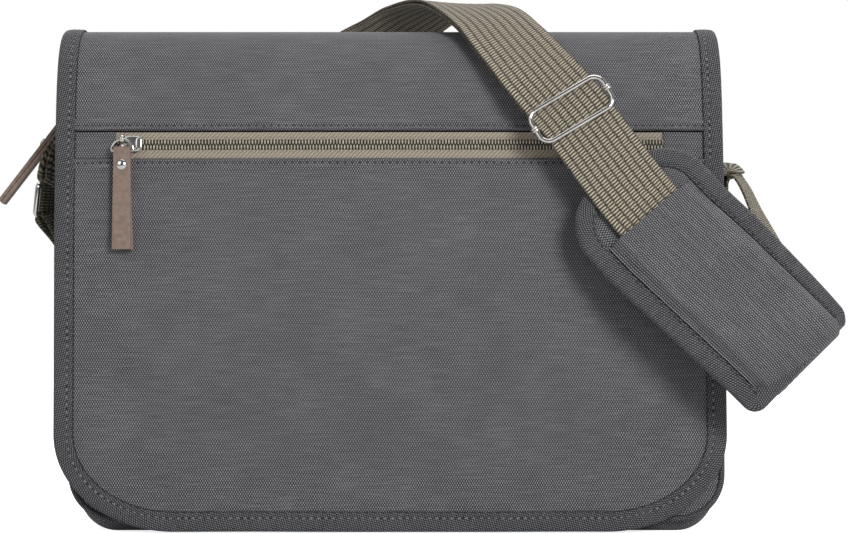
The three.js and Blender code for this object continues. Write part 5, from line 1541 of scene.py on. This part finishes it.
# %% [markdown]
# ## Adjuster
# The slide adjuster is a bent wire frame that lies over the webbing, a little askew, with a straight bar
# under it that the returning layer is sewn round. The bar's ends are curled round the frame's short sides.

# %% Slide adjuster
FRAME_HALF_LENGTH = 22.3 * MM
FRAME_HALF_WIDTH = 9.8 * MM
FRAME_SKEW = math.radians(6.5)
FRAME_CORNER = 6 * MM
FRAME_WIRE = 1.35 * MM
FRAME_ABOVE = 4.7 * MM
BAR_RADIUS = 1.3 * MM
BAR_HALF = 23.6 * MM
CURL_RADIUS, CURL_WIRE = 1.75 * MM, 0.75 * MM

frame_outline = rounded_rectangle(FRAME_HALF_LENGTH, FRAME_HALF_WIDTH, FRAME_CORNER, 13)
frame_long = math.cos(FRAME_SKEW) * bar_across - math.sin(FRAME_SKEW) * bar_along
frame_wide = np.cross(bar_face, frame_long)
frame_middle = bar + FRAME_ABOVE * bar_face
frame_path = frame_middle + frame_outline[:, :1] * frame_long + frame_outline[:, 1:] * frame_wide
adjuster_parts = [wire(frame_path, bar_face, ring_section(FRAME_WIRE, 16), ring=True)]
bar_run = np.linspace(-1, 1, 25)[:, None]
bar_path = bar_centre + bar_run * BAR_HALF * bar_across
adjuster_parts.append(wire(bar_path, bar_face, ring_section(BAR_RADIUS, 14)))
for side in (-1, 1):
    rise = np.linspace(-BAR_BELOW, FRAME_ABOVE, 12)[:, None]
    post = bar + side * FRAME_HALF_LENGTH * bar_across + rise * bar_face
    adjuster_parts.append(wire(post, bar_along, ring_section(FRAME_WIRE, 12)))
    curl = np.linspace(0, 2 * np.pi, 24, endpoint=False)[:, None]
    side_middle = frame_middle + side * FRAME_HALF_LENGTH * frame_long
    for shift in (-CURL_WIRE, CURL_WIRE):
        loop = CURL_RADIUS * (np.cos(curl) * frame_long + np.sin(curl) * bar_face)
        loop_path = side_middle + shift * frame_wide + loop
        adjuster_parts.append(wire(loop_path, frame_wide, ring_section(CURL_WIRE, 12), ring=True))
piece("strap_adjuster_wire", adjuster_parts, nickel, "nickel", ["strap_adjuster"])

# %% [markdown]
# ## Shoulder pad
# The pad is a soft base with rounded ends, bound all round, and a canvas sleeve sewn over it for
# the webbing to slide through. Everything is laid out on the strap's own surface, w across and s
# along, so the pad bends with the strap. The base swells from its bound edge to its middle.

# %% Pad surface
PAD_DROP = 3 * MM
PAD_HALF_WIDTH = 40 * MM
PAD_HEAD_CORNER, PAD_FOOT_CORNER = 28 * MM, 8 * MM
PAD_EDGE = 2.4 * MM
PAD_PLUMP = 3.6 * MM
PAD_LENGTH = 148 * MM
PAD_TOP_MARGIN = 31 * MM
PAD_STRAIGHT = 19 * MM
SLEEVE_LENGTH = 122 * MM
MOUTH_HEM, HEM_RISE, HEM_GROOVE_HALF, SLEEVE_NOSE = 4 * MM, 0.5 * MM, 0.8 * MM, 1.2 * MM
PAD_DRAW, PAD_DRAW_RUN, PAD_DRAW_START, PAD_DRAW_BACK = 6.5 * MM, 110 * MM, 22 * MM, 0.8
PAD_SIDE_RISE = 0.5 * MM
SLEEVE_THICK, SLEEVE_FLAT, SLEEVE_EDGE = 1.2 * MM, 21.6 * MM, 28.6 * MM
SLEEVE_OVER, SLEEVE_LOW, SLEEVE_DRAWN = 3 * MM, -1.7 * MM, 1.6 * MM
SLEEVE_MARGIN = 11.2 * MM
pad_high = pad_mouth + PAD_TOP_MARGIN
pad_low = pad_high - PAD_LENGTH
pad_straight = pad_low + PAD_STRAIGHT
foot_along = strap.at(np.array(pad_straight))[1]


def drawn_in(w, s):
    """How far the pad's right side is drawn in: more and more towards the foot and the edge."""
    to_foot = np.clip(1 - (s - pad_low) / PAD_DRAW_RUN, 0, 1)
    return PAD_DRAW * to_foot * smooth(w, PAD_DRAW_START, PAD_HALF_WIDTH)


def sleeve_surface(w, s, h):
    """The strap's surface with the pad's right side drawn in and back."""
    pull = drawn_in(w, s)
    return strap.surface(w - pull, s, h - PAD_DRAW_BACK * pull)


def pad_surface(w, s, h):
    """The same for the stiff base, which goes straight on where the webbing turns away under its foot."""
    pull = drawn_in(w, s)
    held = np.maximum(s, pad_straight)
    return strap.surface(w - pull, held, h - PAD_DRAW_BACK * pull) + (s - held)[..., None] * foot_along


def pad_edge(inset, steps):
    """The right half of the pad's outline, an inset inside its edge:
    foot corner, long side and head corner."""
    angle = np.linspace(0, np.pi / 2, steps)
    foot_w = PAD_HALF_WIDTH - PAD_FOOT_CORNER + (PAD_FOOT_CORNER - inset) * np.cos(angle[::-1])
    foot_s = pad_low + PAD_FOOT_CORNER - (PAD_FOOT_CORNER - inset) * np.sin(angle[::-1])
    head_w = PAD_HALF_WIDTH - PAD_HEAD_CORNER + (PAD_HEAD_CORNER - inset) * np.cos(angle)
    head_s = pad_high - PAD_HEAD_CORNER + (PAD_HEAD_CORNER - inset) * np.sin(angle)
    side_s = np.linspace(pad_low + PAD_FOOT_CORNER, pad_high - PAD_HEAD_CORNER, 60)[1:-1]
    w = np.concatenate([foot_w, np.full(len(side_s), PAD_HALF_WIDTH - inset), head_w])
    return w, np.concatenate([foot_s, side_s, head_s])


def inside_edge(w, s):
    """Distance in from the pad's rounded outline."""
    size = np.where(s > (pad_low + pad_high) / 2, PAD_HEAD_CORNER, PAD_FOOT_CORNER)
    nearest_end = np.minimum(s - pad_low, pad_high - s)
    dw = np.maximum(np.abs(w) - PAD_HALF_WIDTH + size, 0)
    ds = np.maximum(size - nearest_end, 0)
    return np.minimum(np.minimum(PAD_HALF_WIDTH - np.abs(w), nearest_end), size - np.hypot(dw, ds))


print("pad:", round(pad_low / MM, 1), "to", round(pad_high / MM, 1), "mm along the strap")

# %% Pad base
pad_w, pad_s = pad_edge(SHEET_INSET, 19)
pad_share = np.linspace(-1, 1, 41)
w = pad_w[:, None] * pad_share
s = np.broadcast_to(pad_s[:, None], w.shape)
deep = inside_edge(w, s)
beside_strap = 1 - smooth(WEBBING_WIDTH / 2 - np.abs(w), 0, 3 * MM)
upper_h = -PAD_DROP + PAD_SIDE_RISE * smooth(deep, 8 * MM, 16 * MM) * beside_strap
lower_h = -PAD_DROP - PAD_EDGE - PAD_PLUMP * smooth(deep, 5 * MM, 22 * MM)
pad_points = np.concatenate([pad_surface(w, s, upper_h), pad_surface(w, s, lower_h)[:, ::-1]], 1)
pad_uv = together(pad_s[:, None], there_and_back(w))
shoulder_pad = piece("shoulder_pad_base", [grid(pad_points, pad_uv)], canvas, "canvas", ["shoulder_pad"])


# %% Sleeve
def over_webbing(w):
    """1 where the sleeve lies flat over the webbing, falling to 0 at both edges."""
    return smooth(SLEEVE_EDGE - np.abs(w), 0, SLEEVE_EDGE - SLEEVE_FLAT)


def sleeve_roof(w):
    """Height of the sleeve's underside: flat over the webbing, and falling to the pad at both edges."""
    return SLEEVE_LOW + (SLEEVE_OVER - SLEEVE_LOW) * over_webbing(w)


sleeve_s = np.linspace(pad_mouth - SLEEVE_LENGTH, pad_mouth, 80)
past = np.maximum(sleeve_s - pad_high + PAD_HEAD_CORNER, 0)
round_part = np.sqrt((PAD_HEAD_CORNER - SLEEVE_MARGIN) ** 2 - past ** 2)
half_opening = PAD_HALF_WIDTH - PAD_HEAD_CORNER + round_part
sleeve_half = np.minimum(half_opening, SLEEVE_EDGE)
sleeve_share = np.sin(np.linspace(-np.pi / 2, np.pi / 2, 61))
w = sleeve_half[:, None] * sleeve_share
s = np.broadcast_to(sleeve_s[:, None], w.shape)
# The mouth of the sleeve is hemmed: the cloth is double there, with a stitch groove behind the fold.
from_end = np.minimum(s - sleeve_s[0], sleeve_s[-1] - s)
past_hem = s - sleeve_s[-1] + MOUTH_HEM
hem = HEM_RISE * (smooth(past_hem, -3 * MM, -1 * MM) - np.exp(-(past_hem / HEM_GROOVE_HALF) ** 2))
# Towards the foot the cloth is drawn down onto the webbing.
drawn_down = SLEEVE_DRAWN * (1 - smooth(s - sleeve_s[0], 14 * MM, 40 * MM))
roof = sleeve_roof(w) - drawn_down * over_webbing(w)
nose = np.sqrt(np.clip((from_end + 0.15 * MM) / SLEEVE_NOSE, 0, 1))
top_points = sleeve_surface(w, s, roof + SLEEVE_THICK * (0.35 + 0.65 * nose) + hem * nose)
sleeve_points = np.concatenate([top_points, sleeve_surface(w, s, roof)[:, ::-1]], 1)
sleeve_uv = together(sleeve_s[:, None], there_and_back(w))
sleeve_part = grid(sleeve_points, sleeve_uv)
sleeve = piece("pad_sleeve_cloth", [sleeve_part], sleeve_canvas, "canvas", ["pad_sleeve"])

# %% Pad binding and stitches
PAD_LIP_HIGH = 10.6 * MM
PAD_LIP_LOW = 6 * MM
PAD_STITCH = 9.4 * MM
PAD_PUFF = 0.3 * MM
pad_tape_high = -PAD_DROP + 1 * MM
pad_tape_low = -PAD_DROP - PAD_EDGE - 1 * MM
pad_tape_middle = (pad_tape_high + pad_tape_low) / 2
pad_tape_half = (pad_tape_high - pad_tape_low) / 2
right_w, right_along_pad = pad_edge(0, 29)
ring_w = np.concatenate([right_w, -right_w[::-1]])
ring_s = np.concatenate([right_along_pad, right_along_pad[::-1]])


def on_pad(u, s, h):
    """A point of the pad's binding, with h measured from the middle of the tape."""
    return pad_surface(u, s, pad_tape_middle + h)


pad_outline = (ring_w, ring_s, on_pad, True)
pad_section = bound_section(PAD_LIP_HIGH, PAD_LIP_LOW, pad_tape_half, PAD_PUFF, PAD_STITCH)
pad_tape = grid(along_edge(pad_outline, pad_section), ring=True)
piece("pad_binding_tape", [pad_tape], binding_cloth, "binding", ["pad_binding"])
pad_line = edge_line(pad_outline, PAD_STITCH)
pad_height = pad_tape_half + BINDING - 0.2 * MM
pad_row = sewn(pad_line, pad_height, pitch=3.4 * MM, length=2.6 * MM, radius=0.28 * MM)
piece("pad_binding_stitches", [pad_row], dark_thread_and_shade, "binding")
# A dense row of nearly black stitches at the sleeve's mouth paints the thin shadow line under its edge.
mouth_w = np.linspace(-0.97, 0.97, 120) * sleeve_half[-1]
mouth_s = np.full(len(mouth_w), sleeve_s[-1] - 0.3 * MM)
mouth_h = sleeve_roof(mouth_w) + 0.6 * SLEEVE_THICK
mouth_line = lambda h: sleeve_surface(mouth_w, mouth_s, h)
mouth_shadow_row = sewn(mouth_line, mouth_h, pitch=1.5 * MM, length=1.8 * MM, radius=0.45 * MM)
piece("pad_sleeve_mouth_shadow_line", [mouth_shadow_row], dark_thread_and_shade, "canvas")

# %% [markdown]
# ## Cloth sizes
# The gusset's cut length is its length along the middle line, which follows from the seam outline.

lower_length = wall_length(lower_run)[-1]
